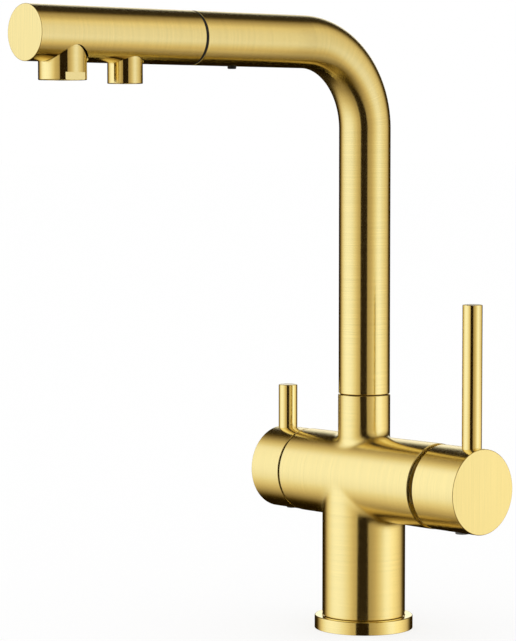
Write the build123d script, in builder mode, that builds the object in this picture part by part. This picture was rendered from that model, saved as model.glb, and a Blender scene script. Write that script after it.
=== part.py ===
from build123d import *
from math import cos, radians, sin, tan
import os

# Three way filtered water tap: a cast tee body on a base ring, a swivel spout with a
# pull-out head, a mixer handle for hot and cold water and a filter handle for drinking
# water.  Millimetres, +Z up.  The origin is on the column's axis, in the face of the
# worktop.  The arm reaches towards -Y, the mixer handle is on +X, the filter handle on -X.

os.makedirs("parts", exist_ok=True)

# ---------------------------------------------------------------- driving dimensions
# Fits
fit = 0.05  # radial clearance of a piece that turns, slides or is screwed in another
film = 0.02  # water film between lapped ceramic discs
loose = 0.3  # between pieces of two bodies that pass each other

# Base ring and worktop
ring_radius = 26.9
ring_height = 7.2
ring_rounding = 0.8
foot_sink = 1.0  # how far the column's foot stands in the ring
foot_seal_width = 4.9
foot_seal_thickness = 1.8
worktop = 30.0

# Threaded shank and its fixing set
shank_radius = 16.5
shank_wall = 2.7
shank_grip = 18.0  # thread inside the column
shank_drop = 62.0  # below the worktop's face
shank_lead = 1.0  # chamfer at the foot of the thread
gasket_radius = 27.0
gasket_thickness = 3.0
washer_radius = 28.0
washer_thickness = 2.5
lock_nut_flats = 41.0
lock_nut_height = 10.0

# Column, crossbar and neck of the cast body
column_radius = 22.7
foot_chamfer = 1.4
chamber_roof = 1.0  # metal left between the column's bore and the crossbar's underside
bar_height = 83.2
bar_radius = 22.9
bar_left = 44.2
bar_right = 56.5
bar_chamfer = 0.4
neck_radius = 14.25
neck_length = 45.6  # from the crossbar's axis to the swivel seam
cast_blend = 2.5
passage_radius = 5.6  # way of the pull-out hose down through the body

# Inlet ports for the flexible hoses
manifold_height = 12.0
port_radius = 3.5
port_circle = 10.1
port_angles = {"hot": -40.0, "cold": 40.0, "filter": 140.0, "return": 220.0}
drilling_radius = 2.6

# Swivel between neck and spout
swivel_seam = 0.5
seam_chamfer = 0.3
ferrule_radius = 10.4
ferrule_length = 34.0
ferrule_grip = 22.0
ferrule_wall = 4.0
ferrule_play = 2.0  # under the ferrule's foot
o_ring_section = 1.8
o_ring_room = 1.3  # width of an O-ring's groove over the ring's own section
o_ring_drops = (7.0, 27.0)
swivel_clip_drop = 16.0
swivel_clip_height = 1.2
swivel_clip_depth = 1.3  # of its groove in the neck
swivel_clip_width = 1.95
swivel_clip_mouth = 5.0
glide_width = 2.15
glide_depth = 1.1

# Spout
tube_radius = 14.0
tube_wall = 1.3
arm_height = 318.8
bend_radius = 46.0
bend_turn = 90.0  # from the rise to the level arm
dock_reach = 122.6  # end of the spout tube, in front of the column's axis
dock_flange = 1.4
dock_flange_inset = 0.1
dock_depth = 34.6
dock_seam = 0.1
snap_inset = 27.2  # from the end of the tube to the snap nub under the arm
snap_radius = 2.3
snap_proud = 1.3
snap_root = 1.0

# Pull-out head
head_length = 104.1
shell_wall = 1.8
end_wall = 2.5
end_rounding = 0.4
main_inset = 22.9  # from the head's end to the main outlet
outlet_spacing = 39.2
main_radius = 12.0
main_wall = 2.7
main_drop = 22.8
main_gap = 0.8
main_flat_depth = 1.6
flats_height = 3.7
filter_radius = 8.9
filter_wall = 1.9
filter_drop = 24.0
filter_gap = 0.35
main_seat = 4.0  # flat seats of the outlets, below the arm's axis
filter_seat = 6.0
core_inset = 16.4  # from the head's back to the core
core_bore = 8.0
tail_radius = 10.25
tail_wall = 2.85
tail_length = 23.6  # of the spigot in the dock bush
tail_inset = 0.8

# Aerator
aerator_height = 8.5
aerator_recess = 0.6
aerator_wall = 1.2
screen_thickness = 1.4
screen_hole = 0.7
screen_pitch = 2.6
screen_rows = 5
straightener_height = 4.0
straightener_hole = 1.3
straightener_holes = 6  # around the one in the middle
straightener_circle = 3.9

# Pull-out hose with a large and a small channel
hose_radius = 5.0
hose_main_channel = 2.2
hose_main_offset = -1.8
hose_filter_channel = 1.3
hose_filter_offset = 2.6
hose_drop = 50.0
hose_grip = 11.0  # in its crimped sleeves
crimp_wall = 1.2
crimp_length = 14.0
crimp_inset = 5.0
coupling_length = 11.0
tail_nut_flats = 11.0
tail_nut_length = 8.0
poppet_offset = -2.6
poppet_radius = 3.0
poppet_length = 5.0
poppet_play = 0.3

# Mixer cartridge in the right end of the crossbar
mouth_wall = 1.4
mouth_depth = 5.6
cartridge_depth = 18.6  # from the crossbar's end to the cartridge's seat
cartridge_radius = 12.5
cartridge_seal_thickness = 1.0
cartridge_seal_inset = 0.9
inlet_radius = 2.6
inlet_offset = 6.5
base_flange = 8.0
base_boss = 4.0
housing_radius = 10.6
housing_wall = 1.3
housing_length = 18.4
housing_lip = 1.4
housing_chamfer = 0.8
lip_width = 0.9
clamp_nut_radius = 14.0
clamp_nut_height = 6.0
clamp_nut_thread = 6.0
clamp_nut_slot = 4.0
clamp_nut_slot_depth = 2.0
disc_thickness = 3.0
moving_disc_radius = 7.0
disc_offset = 1.75
disc_pocket = 1.5
driver_height = 4.0
driver_hole = 2.4
port_span = 3.6
disc_port = 1.7

# Mixer handle
tilt_out = 12.0  # from the crossbar's end to the pin on which the stem tilts
tilt_angle = 20.0
tilt_pin_radius = 1.25
ear_radius = 2.8
ear_gap = 8.6
ear_thickness = 2.2
knuckle_radius = 2.7
stem_square = 7.0
stem_length = 16.5  # from the tilt pin to the stem's end in the hub
stem_start = 1.0
stem_arm_radius = 1.3
stem_ball_radius = 1.8
stem_ball_rise = 2.0  # of the ball's centre over the ceramic disc
mixer_hub_radius = 22.65
mixer_seam = 3.0
mixer_length = 30.3
mixer_cavity = 10.2
mixer_wall = 1.6
stem_pocket_radius = 8.5
stem_pocket_play = 0.6
hub_rim_chamfer = 0.6
hub_face_rounding = 0.5
mixer_lever_inset = 8.2  # from the hub's face to the lever
mixer_screw_inset = 14.9
mixer_lever_length = 76.7
mixer_cap_radius = 3.6
mixer_cap_proud = 0.8

# Levers and their fastening, alike on both handles
lever_radius = 5.25
lever_seat = 1.5  # depth of the seat in the hub's crown
lever_stud_radius = 3.0
lever_stud = 9.0
lever_edge = 0.4
set_screw_radius = 2.0
set_screw_length = 7.0
set_screw_key = 2.5
cap_depth = 4.0

# Filter valve in the left end of the crossbar, and its handle
valve_seat = 16.0  # from the column's axis
valve_radius = 9.5
valve_wall = 1.45
valve_seal_thickness = 1.2
valve_seal_inset = 0.9
valve_seal_width = 3.0
valve_disc_play = 0.15
valve_port = 1.9
valve_port_span = 4.2
spindle_flange = 2.8
spindle_radius = 4.0
spindle_grip = 9.0  # in the filter hub
spindle_ring_insets = (4.7, 10.7)  # from the crossbar's end
spindle_ring_section = 1.5
headwork_flats = 20.0
headwork_flange = 4.5
spindle_clip_height = 0.9
spindle_clip_width = 2.8
spindle_clip_groove = 1.0
spindle_clip_mouth = 3.4
filter_hub_radius = 22.65
filter_seam = 1.2
filter_length = 22.3
filter_cavity = 7.1
filter_cavity_wall = 3.3
filter_lever_inset = 5.65
filter_screw_inset = 9.2
filter_lever_length = 25.3
filter_cap_radius = 3.0
filter_cap_proud = 0.4

# ---------------------------------------------------------------- derived sizes and places
bar_axis = Axis((0, 0, bar_height), (1, 0, 0))
# base and column
foot_height = ring_height - foot_sink
shank_bore = shank_radius - shank_wall
column_bore = shank_radius + fit
foot_seal_radius = shank_radius + foot_seal_width
chamber_top = bar_height - bar_radius - chamber_roof
gasket_foot = -worktop - gasket_thickness
washer_foot = gasket_foot - washer_thickness
lock_nut_foot = washer_foot - lock_nut_height
# swivel
swivel_height = bar_height + neck_length
neck_top = swivel_height - swivel_seam / 2
spout_foot = swivel_height + swivel_seam / 2
ferrule_foot = spout_foot - ferrule_length
ferrule_bore = ferrule_radius - ferrule_wall
neck_bore = ferrule_radius + fit
neck_bore_floor = ferrule_foot - ferrule_play
swivel_clip_radius = neck_bore + swivel_clip_depth - fit
swivel_clip_inner = swivel_clip_radius - swivel_clip_width
swivel_clip_foot = spout_foot - swivel_clip_drop
glide_foot = neck_top - glide_depth
glide_radius = neck_bore + glide_width
# spout and head
tube_bore = tube_radius - tube_wall
dock_front = dock_reach + dock_flange
dock_back = dock_front - dock_depth
dock_flange_radius = tube_radius - dock_flange_inset
snap_reach = dock_reach - snap_inset
shell_back = dock_front + dock_seam
shell_bore = tube_radius - shell_wall
head_reach = shell_back + head_length
shell_front = head_reach - end_wall
main_reach = head_reach - main_inset
filter_reach = main_reach - outlet_spacing
main_bore = main_radius - main_wall
filter_bore = filter_radius - filter_wall
core_back = shell_back + core_inset
tail_reach = dock_reach - tail_length
tail_bore = tail_radius - tail_wall
tail_shoulder = shell_back + tail_inset
aerator_bore = main_bore - aerator_wall
aerator_top = main_drop - aerator_recess - aerator_height
screen_top = main_drop - aerator_recess - 1.5 * screen_thickness
straightener_top = filter_drop - aerator_recess - straightener_height
# pull-out hose
crimp_radius = hose_radius + crimp_wall
crimp_back = tail_reach + crimp_inset
crimp_front = crimp_back + crimp_length
hose_reach = crimp_back + hose_grip
coupling_front = crimp_front + coupling_length
poppet_chamber = poppet_length + 2 * poppet_play
poppet_back = (coupling_front + core_back - poppet_length) / 2
# mixer cartridge
mouth_radius = bar_radius - mouth_wall
mouth_floor = bar_right - mouth_depth
cartridge_seat = bar_right - cartridge_depth
base_back = cartridge_seat + cartridge_seal_thickness
base_shoulder = base_back + base_flange
base_length = base_flange + base_boss
cartridge_seal_radius = cartridge_radius - cartridge_seal_inset
housing_bore = housing_radius - housing_wall
housing_front = base_shoulder + housing_length
lip_bore = housing_bore - lip_width
fixed_disc_back = base_shoulder + base_boss
moving_disc_back = fixed_disc_back + disc_thickness + film
driver_back = moving_disc_back + disc_thickness
carrier_back = driver_back + fit
carrier_step = housing_front - housing_lip - loose / 2
carrier_front = housing_front + fit
# mixer handle
tilt_reach = bar_right + tilt_out
stem_reach = tilt_reach + stem_length
stem_ball_reach = driver_back + stem_ball_rise
pin_length = ear_gap + 2 * ear_thickness
knuckle_width = ear_gap - 2 * loose
mixer_rim = bar_right + mixer_seam
mixer_face = mixer_rim + mixer_length
mixer_floor = mixer_rim + mixer_cavity
stem_pocket_floor = tilt_reach + ear_radius + stem_pocket_play
mixer_lever_reach = mixer_face - mixer_lever_inset
mixer_screw_reach = mixer_face - mixer_screw_inset
# filter valve, to the left of the column's axis
valve_cavity = valve_radius - valve_wall
valve_disc_radius = valve_cavity - valve_disc_play
valve_seal_radius = valve_radius - valve_seal_inset
headwork_back = valve_seat + valve_seal_thickness
turning_disc_back = headwork_back + disc_thickness + film
spindle_back = turning_disc_back + disc_thickness
cavity_front = spindle_back + spindle_flange + loose
headwork_front = bar_left + headwork_flange
clip_back = headwork_front + loose
# filter handle
filter_rim = bar_left + filter_seam
filter_face = filter_rim + filter_length
filter_floor = filter_rim + filter_cavity
filter_cavity_radius = filter_hub_radius - filter_cavity_wall
spindle_reach = filter_floor + spindle_grip
filter_lever_reach = filter_face - filter_lever_inset
filter_screw_reach = filter_face - filter_screw_inset


# ---------------------------------------------------------------- construction helpers
def across(x):
    """Plane square to the crossbar at x, centred on its axis, facing +X."""
    return Plane(origin=(x, 0, bar_height), x_dir=(0, 1, 0), z_dir=(1, 0, 0))


def along_arm(reach):
    """Plane square to the arm, this far in front of the column, facing -Y."""
    return Plane(origin=(0, -reach, arm_height), x_dir=(1, 0, 0), z_dir=(0, -1, 0))


def under_arm(reach, drop):
    """Level plane this far in front of the column and below the arm's axis, facing down."""
    return Plane(origin=(0, -reach, arm_height - drop), x_dir=(1, 0, 0), z_dir=(0, 0, -1))


def level(z):
    """Level plane on the column's axis, facing up."""
    return Plane.XY.offset(z)


def over_bar(x, rise):
    """Level plane this far above the crossbar's axis at x, facing up."""
    return Plane(origin=(x, 0, bar_height + rise), x_dir=(1, 0, 0), z_dir=(0, 0, 1))


def beside_bar(x, y, facing):
    """Upright plane through the crossbar's axis height at x and y, facing +Y or -Y."""
    return Plane(origin=(x, y, bar_height), x_dir=(1, 0, 0), z_dir=(0, facing, 0))


def port_spot(angle):
    """Centre of an inlet port on its circle around the column's axis."""
    return port_circle * cos(radians(angle)), port_circle * sin(radians(angle))


def rod(plane, radius, length, mode=Mode.ADD):
    """Round bar, or with Mode.SUBTRACT a round hole, along the plane's normal."""
    with BuildSketch(plane) as section:
        Circle(radius)
    extrude(section.sketch, amount=length, mode=mode)


def tube(plane, radius, bore, length):
    """Round tube or washer along the plane's normal."""
    with BuildSketch(plane) as section:
        Circle(radius)
        Circle(bore, mode=Mode.SUBTRACT)
    extrude(section.sketch, amount=length)


def hexagon(plane, flats, length, mode=Mode.ADD):
    """Hexagonal bar or socket, measured across its flats, along the plane's normal."""
    with BuildSketch(plane) as section:
        RegularPolygon(radius=flats / 2, side_count=6, major_radius=False)
    extrude(section.sketch, amount=length, mode=mode)


def block(plane, width, height, length, mode=Mode.ADD):
    """Rectangular bar or hole along the plane's normal."""
    with BuildSketch(plane) as section:
        Rectangle(width, height)
    extrude(section.sketch, amount=length, mode=mode)


def holes(plane, spots, radius, length):
    """Round holes at spots given in the plane's own coordinates."""
    with BuildSketch(plane) as section:
        with Locations(*spots):
            Circle(radius)
    extrude(section.sketch, amount=length, mode=Mode.SUBTRACT)


def water_channels(plane, length):
    """The large and the small channel of the pull-out hose, through the piece it joins."""
    holes(plane, [(hose_main_offset, 0)], hose_main_channel, length)
    holes(plane, [(hose_filter_offset, 0)], hose_filter_channel, length)


def save(piece, name):
    """Label a finished piece and write it under its own name."""
    piece.part.label = name
    export_step(piece.part, f"parts/{name}.step")


# ---------------------------------------------------------------- cast body
with BuildPart() as tee_body:
    rod(level(foot_height), column_radius, bar_height - foot_height)
    rod(across(-bar_left), bar_radius, bar_left + bar_right)
    rod(level(bar_height), neck_radius, neck_top - bar_height)
    joint_lines = tee_body.edges().filter_by(GeomType.BSPLINE)
    fillet(joint_lines, radius=cast_blend)
    chamfer(tee_body.edges().filter_by(GeomType.CIRCLE).sort_by(Axis.Z)[0], length=foot_chamfer)
    chamfer(tee_body.edges().filter_by(GeomType.CIRCLE).sort_by(Axis.Z)[-1], length=seam_chamfer)
    chamfer(tee_body.edges().filter_by(GeomType.CIRCLE).sort_by(Axis.X)[0], length=bar_chamfer)
    chamfer(tee_body.edges().filter_by(GeomType.CIRCLE).sort_by(Axis.X)[-1], length=bar_chamfer)
    # column: bore for shank and manifold, and the way of the hose up to the neck
    rod(level(foot_height), column_bore, chamber_top - foot_height, Mode.SUBTRACT)
    rod(level(chamber_top), passage_radius, neck_bore_floor - chamber_top, Mode.SUBTRACT)
    # neck: bore of the spout's ferrule, groove of its clip and seat of the glide ring
    rod(level(neck_bore_floor), neck_bore, neck_top - neck_bore_floor, Mode.SUBTRACT)
    clip_groove_height = swivel_clip_height + 2 * fit
    rod(level(swivel_clip_foot), swivel_clip_radius + fit, clip_groove_height, Mode.SUBTRACT)
    rod(level(glide_foot), glide_radius + fit, glide_depth, Mode.SUBTRACT)
    # right end: mouth, thread of the clamp nut and bore of the mixer cartridge
    nut_thread_back = mouth_floor - clamp_nut_thread
    rod(across(mouth_floor), mouth_radius, mouth_depth, Mode.SUBTRACT)
    rod(across(nut_thread_back), clamp_nut_radius + fit, clamp_nut_thread, Mode.SUBTRACT)
    rod(across(cartridge_seat), cartridge_radius, cartridge_depth, Mode.SUBTRACT)
    # left end: bore of the filter valve
    rod(across(-bar_left), valve_radius + fit, bar_left - valve_seat, Mode.SUBTRACT)
    # drillings from the inlet ports up to the bar's axis and along it to the two valves
    for inlet, seat, side in (
        ("hot", cartridge_seat, 1),
        ("cold", cartridge_seat, 1),
        ("filter", valve_seat, -1),
    ):
        x, y = port_spot(port_angles[inlet])
        riser = Plane(origin=(x, y, chamber_top), x_dir=(1, 0, 0), z_dir=(0, 0, 1))
        rod(riser, drilling_radius, bar_height - chamber_top, Mode.SUBTRACT)
        gallery = Plane(origin=(x, y, bar_height), x_dir=(0, 1, 0), z_dir=(side, 0, 0))
        rod(gallery, drilling_radius, seat - abs(x), Mode.SUBTRACT)
save(tee_body, "tee_body")

with BuildPart() as base_ring:
    rod(level(0), ring_radius, ring_height)
    fillet(base_ring.edges().group_by(Axis.Z)[-1], radius=ring_rounding)
    rod(level(0), column_bore, ring_height, Mode.SUBTRACT)
    rod(level(foot_height), column_radius + fit, foot_sink, Mode.SUBTRACT)
    rod(level(0), foot_seal_radius + fit, foot_seal_thickness, Mode.SUBTRACT)
save(base_ring, "base_ring")

with BuildPart() as base_seal:
    tube(level(0), foot_seal_radius, column_bore, foot_seal_thickness)
save(base_seal, "base_seal")

# ---------------------------------------------------------------- fixing set
with BuildPart() as mounting_shank:
    shank_length = shank_drop + foot_height + shank_grip
    rod(level(-shank_drop), shank_radius, shank_length)
    chamfer(mounting_shank.edges().group_by(Axis.Z)[0], length=shank_lead)
    rod(level(-shank_drop), shank_bore, shank_length, Mode.SUBTRACT)
save(mounting_shank, "mounting_shank")

with BuildPart() as worktop_gasket:
    tube(level(gasket_foot), gasket_radius, column_bore, gasket_thickness)
save(worktop_gasket, "worktop_gasket")

with BuildPart() as clamp_washer:
    tube(level(washer_foot), washer_radius, column_bore, washer_thickness)
save(clamp_washer, "clamp_washer")

with BuildPart() as lock_nut:
    hexagon(level(lock_nut_foot), lock_nut_flats, lock_nut_height)
    rod(level(lock_nut_foot), column_bore, lock_nut_height, Mode.SUBTRACT)
save(lock_nut, "lock_nut")

# ---------------------------------------------------------------- inlet manifold
with BuildPart() as hose_manifold:
    manifold_foot = level(chamber_top - manifold_height)
    tube(manifold_foot, shank_radius, passage_radius, manifold_height)
    port_spots = [port_spot(angle) for angle in port_angles.values()]
    holes(manifold_foot, port_spots, port_radius, manifold_height)
save(hose_manifold, "hose_manifold")

# ---------------------------------------------------------------- swivel
with BuildPart() as spout_ferrule:
    rod(level(ferrule_foot), ferrule_radius, ferrule_length)
    rod(level(spout_foot), tube_bore - fit, ferrule_grip)
    with BuildSketch(Plane.XZ) as grooves:
        with Locations(*[(ferrule_radius, spout_foot - drop) for drop in o_ring_drops]):
            Rectangle(2 * o_ring_section, o_ring_room * o_ring_section)
        with Locations((ferrule_radius, swivel_clip_foot + swivel_clip_height / 2 + fit)):
            clip_groove_depth = ferrule_radius - swivel_clip_inner + loose
            Rectangle(2 * clip_groove_depth, swivel_clip_height + 2 * loose)
    revolve(grooves.sketch, axis=Axis.Z, mode=Mode.SUBTRACT)
    rod(level(ferrule_foot), ferrule_bore, ferrule_length + ferrule_grip, Mode.SUBTRACT)
save(spout_ferrule, "spout_ferrule")

with BuildPart() as swivel_o_rings:
    with BuildSketch(Plane.XZ) as o_ring_sections:
        ring_middle = ferrule_radius - o_ring_section / 2
        with Locations(*[(ring_middle, spout_foot - drop) for drop in o_ring_drops]):
            Circle(o_ring_section / 2)
    revolve(o_ring_sections.sketch, axis=Axis.Z)
save(swivel_o_rings, "swivel_o_rings")

with BuildPart() as swivel_clip:
    tube(level(swivel_clip_foot + fit), swivel_clip_radius, swivel_clip_inner, swivel_clip_height)
    mouth = Plane(origin=(0, 0, swivel_clip_foot), x_dir=(1, 0, 0), z_dir=(0, 1, 0))
    clear_height = 4 * swivel_clip_height
    block(mouth, swivel_clip_mouth, clear_height, 2 * swivel_clip_radius, Mode.SUBTRACT)
save(swivel_clip, "swivel_clip")

with BuildPart() as swivel_glide_ring:
    tube(level(glide_foot), glide_radius, neck_bore, glide_depth + swivel_seam)
save(swivel_glide_ring, "swivel_glide_ring")

# ---------------------------------------------------------------- spout
with BuildPart() as spout_tube:
    with BuildLine(Plane.YZ):
        rise = Line((0, spout_foot), (0, arm_height - bend_radius))
        bend = JernArc(rise @ 1, rise % 1, radius=bend_radius, arc_size=bend_turn)
        Line(bend @ 1, (-dock_reach, arm_height))
    with BuildSketch(level(spout_foot)):
        Circle(tube_radius)
        Circle(tube_bore, mode=Mode.SUBTRACT)
    sweep()
    foot_edges = spout_tube.edges().filter_by(GeomType.CIRCLE).group_by(Axis.Z)[0]
    chamfer(foot_edges.sort_by(SortBy.RADIUS)[-1], length=seam_chamfer)
    rod(under_arm(snap_reach, 0), snap_radius + loose / 2, 2 * tube_radius, Mode.SUBTRACT)
save(spout_tube, "spout_tube")

with BuildPart() as dock_bush:
    rod(along_arm(dock_back), tube_bore - fit, dock_depth)
    rod(along_arm(dock_reach), dock_flange_radius, dock_flange)
    snap_top = tube_bore - fit - snap_root
    rod(under_arm(snap_reach, snap_top), snap_radius, tube_radius + snap_proud - snap_top)
    rod(along_arm(dock_back), tail_radius + fit, dock_depth, Mode.SUBTRACT)
save(dock_bush, "dock_bush")

# ---------------------------------------------------------------- pull-out hose
with BuildPart() as pull_out_hose:
    with BuildLine(Plane.YZ):
        hose_rise = Line((0, -hose_drop), (0, arm_height - bend_radius))
        hose_bend = JernArc(hose_rise @ 1, hose_rise % 1, radius=bend_radius, arc_size=bend_turn)
        Line(hose_bend @ 1, (-hose_reach, arm_height))
    with BuildSketch(level(-hose_drop)):
        Circle(hose_radius)
        with Locations((hose_main_offset, 0)):
            Circle(hose_main_channel, mode=Mode.SUBTRACT)
        with Locations((hose_filter_offset, 0)):
            Circle(hose_filter_channel, mode=Mode.SUBTRACT)
    sweep()
save(pull_out_hose, "pull_out_hose")

with BuildPart() as hose_tail_fitting:
    tube(level(-hose_drop), crimp_radius, hose_radius + fit, crimp_length)
    tail_nut_foot = level(-hose_drop - tail_nut_length)
    hexagon(tail_nut_foot, tail_nut_flats, tail_nut_length)
    water_channels(tail_nut_foot, tail_nut_length)
save(hose_tail_fitting, "hose_tail_fitting")

with BuildPart() as hose_head_fitting:
    rod(along_arm(crimp_back), crimp_radius, crimp_length)
    rod(along_arm(crimp_front), tail_bore - fit, coupling_length)
    rod(along_arm(crimp_back), hose_radius + fit, hose_grip, Mode.SUBTRACT)
    water_channels(along_arm(hose_reach), coupling_front - hose_reach)
save(hose_head_fitting, "hose_head_fitting")

with BuildPart() as check_valve:
    rod(along_arm(coupling_front), tail_bore - fit, core_back - coupling_front)
    water_channels(along_arm(coupling_front), core_back - coupling_front)
    # chamber in the large channel, and the poppet that closes it
    poppet_spot = [(poppet_offset, 0)]
    chamber_radius = poppet_radius + poppet_play
    holes(along_arm(poppet_back - poppet_play), poppet_spot, chamber_radius, poppet_chamber)
    with BuildSketch(along_arm(poppet_back)) as poppet:
        with Locations(*poppet_spot):
            Circle(poppet_radius)
    extrude(poppet.sketch, amount=poppet_length)
save(check_valve, "check_valve")

# ---------------------------------------------------------------- pull-out head
with BuildPart() as head_shell:
    rod(along_arm(shell_back), tube_radius, head_length)
    fillet(head_shell.edges().group_by(Axis.Y)[0], radius=end_rounding)
    chamfer(head_shell.edges().group_by(Axis.Y)[-1], length=seam_chamfer)
    rod(along_arm(shell_back), shell_bore, shell_front - shell_back, Mode.SUBTRACT)
    rod(under_arm(main_reach, main_seat), main_radius + main_gap, tube_radius, Mode.SUBTRACT)
    rod(under_arm(filter_reach, filter_seat), filter_radius + filter_gap, tube_radius, Mode.SUBTRACT)
save(head_shell, "head_shell")

with BuildPart() as head_core:
    rod(along_arm(core_back), shell_bore - fit, shell_front - core_back)
    # flat seats over the two outlets
    for reach, radius, seat in (
        (main_reach, main_radius + main_gap, main_seat),
        (filter_reach, filter_radius + filter_gap, filter_seat),
    ):
        block(under_arm(reach, seat), 2 * tube_radius, 2 * radius, tube_radius, Mode.SUBTRACT)
    # each channel runs along the arm and turns down to its own outlet
    for reach, offset, channel in (
        (main_reach, hose_main_offset, hose_main_channel),
        (filter_reach, hose_filter_offset, hose_filter_channel),
    ):
        holes(along_arm(core_back), [(offset, 0)], channel, reach - core_back)
        holes(under_arm(reach, 0), [(offset, 0)], channel, tube_radius)
    rod(under_arm(main_reach, 0), core_bore, tube_radius, Mode.SUBTRACT)
save(head_core, "head_core")

with BuildPart() as head_tail:
    rod(along_arm(tail_reach), tail_radius, core_back - tail_reach)
    rod(along_arm(tail_shoulder), shell_bore - fit, core_back - tail_shoulder)
    rod(along_arm(tail_reach), tail_bore, core_back - tail_reach, Mode.SUBTRACT)
save(head_tail, "head_tail")

with BuildPart() as outlet_main:
    rod(under_arm(main_reach, main_seat), main_radius, main_drop - main_seat)
    # two wrench flats on the collar's rim
    for side in (1, -1):
        flat = Plane(
            origin=(
                side * (main_radius - main_flat_depth),
                -main_reach,
                arm_height - main_drop + flats_height / 2,
            ),
            x_dir=(0, 1, 0),
            z_dir=(side, 0, 0),
        )
        block(flat, 2 * main_radius, flats_height, main_flat_depth, Mode.SUBTRACT)
    rod(under_arm(main_reach, main_seat), core_bore, main_drop - main_seat, Mode.SUBTRACT)
    rod(under_arm(main_reach, aerator_top), main_bore, main_drop - aerator_top, Mode.SUBTRACT)
save(outlet_main, "outlet_main")

with BuildPart() as aerator_housing:
    tube(under_arm(main_reach, aerator_top), main_bore - fit, aerator_bore, aerator_height)
save(aerator_housing, "aerator_housing")

with BuildPart() as aerator_screen:
    rod(under_arm(main_reach, screen_top), aerator_bore - fit, screen_thickness)
    with BuildSketch(under_arm(main_reach, screen_top)) as screen_pattern:
        with HexLocations(screen_pitch / 2, screen_rows, screen_rows):
            Circle(screen_hole)
    extrude(screen_pattern.sketch, amount=screen_thickness, mode=Mode.SUBTRACT)
save(aerator_screen, "aerator_screen")

with BuildPart() as outlet_filter:
    tube(under_arm(filter_reach, filter_seat), filter_radius, filter_bore, filter_drop - filter_seat)
save(outlet_filter, "outlet_filter")

with BuildPart() as filter_straightener:
    rod(under_arm(filter_reach, straightener_top), filter_bore - fit, straightener_height)
    with BuildSketch(under_arm(filter_reach, straightener_top)) as straightener_pattern:
        with PolarLocations(straightener_circle, straightener_holes):
            Circle(straightener_hole)
        Circle(straightener_hole)
    extrude(straightener_pattern.sketch, amount=straightener_height, mode=Mode.SUBTRACT)
save(filter_straightener, "filter_straightener")

# ---------------------------------------------------------------- mixer cartridge
water_ports = [(inlet_offset, 0), (-inlet_offset, 0)]
with BuildPart() as cartridge_seal:
    rod(across(cartridge_seat), cartridge_seal_radius, cartridge_seal_thickness)
    holes(across(cartridge_seat), water_ports, inlet_radius, cartridge_seal_thickness)
save(cartridge_seal, "cartridge_seal")

with BuildPart() as cartridge_base:
    rod(across(base_back), cartridge_radius - fit, base_flange)
    rod(across(base_shoulder), housing_bore - fit, base_boss)
    holes(across(base_back), water_ports, inlet_radius, base_length)
save(cartridge_base, "cartridge_base")

with BuildPart() as cartridge_housing:
    rod(across(base_shoulder), housing_radius, housing_length)
    chamfer(cartridge_housing.edges().group_by(Axis.X)[-1], length=housing_chamfer)
    rod(across(base_shoulder), housing_bore, housing_length - housing_lip, Mode.SUBTRACT)
    rod(across(base_shoulder), lip_bore, housing_length, Mode.SUBTRACT)
save(cartridge_housing, "cartridge_housing")

with BuildPart() as cartridge_clamp_nut:
    tube(across(base_shoulder), clamp_nut_radius, housing_radius + fit, clamp_nut_height)
    slot_floor = across(base_shoulder + clamp_nut_height - clamp_nut_slot_depth)
    for turn in (0, 90):
        slot = slot_floor.rotated((0, 0, turn))
        block(slot, clamp_nut_slot, 2 * clamp_nut_radius, clamp_nut_slot_depth, Mode.SUBTRACT)
save(cartridge_clamp_nut, "cartridge_clamp_nut")

with BuildPart() as cartridge_fixed_disc:
    rod(across(fixed_disc_back), housing_bore - 2 * fit, disc_thickness)
    disc_ports = water_ports + [(0, -port_span)]
    holes(across(fixed_disc_back), disc_ports, disc_port, disc_thickness)
save(cartridge_fixed_disc, "cartridge_fixed_disc")

closed_disc = Plane(
    origin=(moving_disc_back, 0, bar_height - disc_offset), x_dir=(0, 1, 0), z_dir=(1, 0, 0)
)
with BuildPart() as cartridge_moving_disc:
    rod(closed_disc, moving_disc_radius, disc_thickness)
    rod(closed_disc, moving_disc_radius / 2, disc_pocket, Mode.SUBTRACT)
save(cartridge_moving_disc, "cartridge_moving_disc")

with BuildPart() as cartridge_disc_driver:
    rod(closed_disc.offset(disc_thickness), moving_disc_radius, driver_height)
    rod(across(driver_back), driver_hole, driver_height, Mode.SUBTRACT)
save(cartridge_disc_driver, "cartridge_disc_driver")

with BuildPart() as cartridge_carrier:
    rod(across(carrier_back), housing_bore - fit, carrier_step - carrier_back)
    rod(across(carrier_step), lip_bore - fit, carrier_front - carrier_step)
    # ears that hold the tilt pin, one on each side of the stem
    ear_rise = tilt_reach - carrier_step
    for side in (1, -1):
        ear_side = side * ear_gap / 2
        rod(beside_bar(tilt_reach, ear_side, side), ear_radius, ear_thickness)
        ear_foot = beside_bar(tilt_reach - ear_rise / 2, ear_side, side)
        block(ear_foot, ear_rise, 2 * ear_radius, ear_thickness)
    # cross slot of the disc driver and the opening for the stem's arm
    slot_width = 2 * (moving_disc_radius + fit)
    slot_depth = driver_height + loose
    block(across(carrier_back), slot_width, 4 * housing_bore, slot_depth, Mode.SUBTRACT)
    arm_swing = (tilt_reach - driver_back) * tan(radians(tilt_angle))
    with BuildSketch(across(carrier_back)) as arm_opening:
        with Locations((0, arm_swing / 2)):
            arm_room = 2 * (stem_arm_radius + 4 * loose)
            Rectangle(arm_room, arm_swing + 2 * (stem_ball_radius + loose))
    extrude(arm_opening.sketch, amount=carrier_front - carrier_back, mode=Mode.SUBTRACT)
    pin_hole = beside_bar(tilt_reach, -housing_bore, 1)
    rod(pin_hole, tilt_pin_radius, 2 * housing_bore, Mode.SUBTRACT)
save(cartridge_carrier, "cartridge_carrier")

with BuildPart() as cartridge_tilt_pin:
    rod(beside_bar(tilt_reach, -pin_length / 2, 1), tilt_pin_radius, pin_length)
save(cartridge_tilt_pin, "cartridge_tilt_pin")

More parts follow.
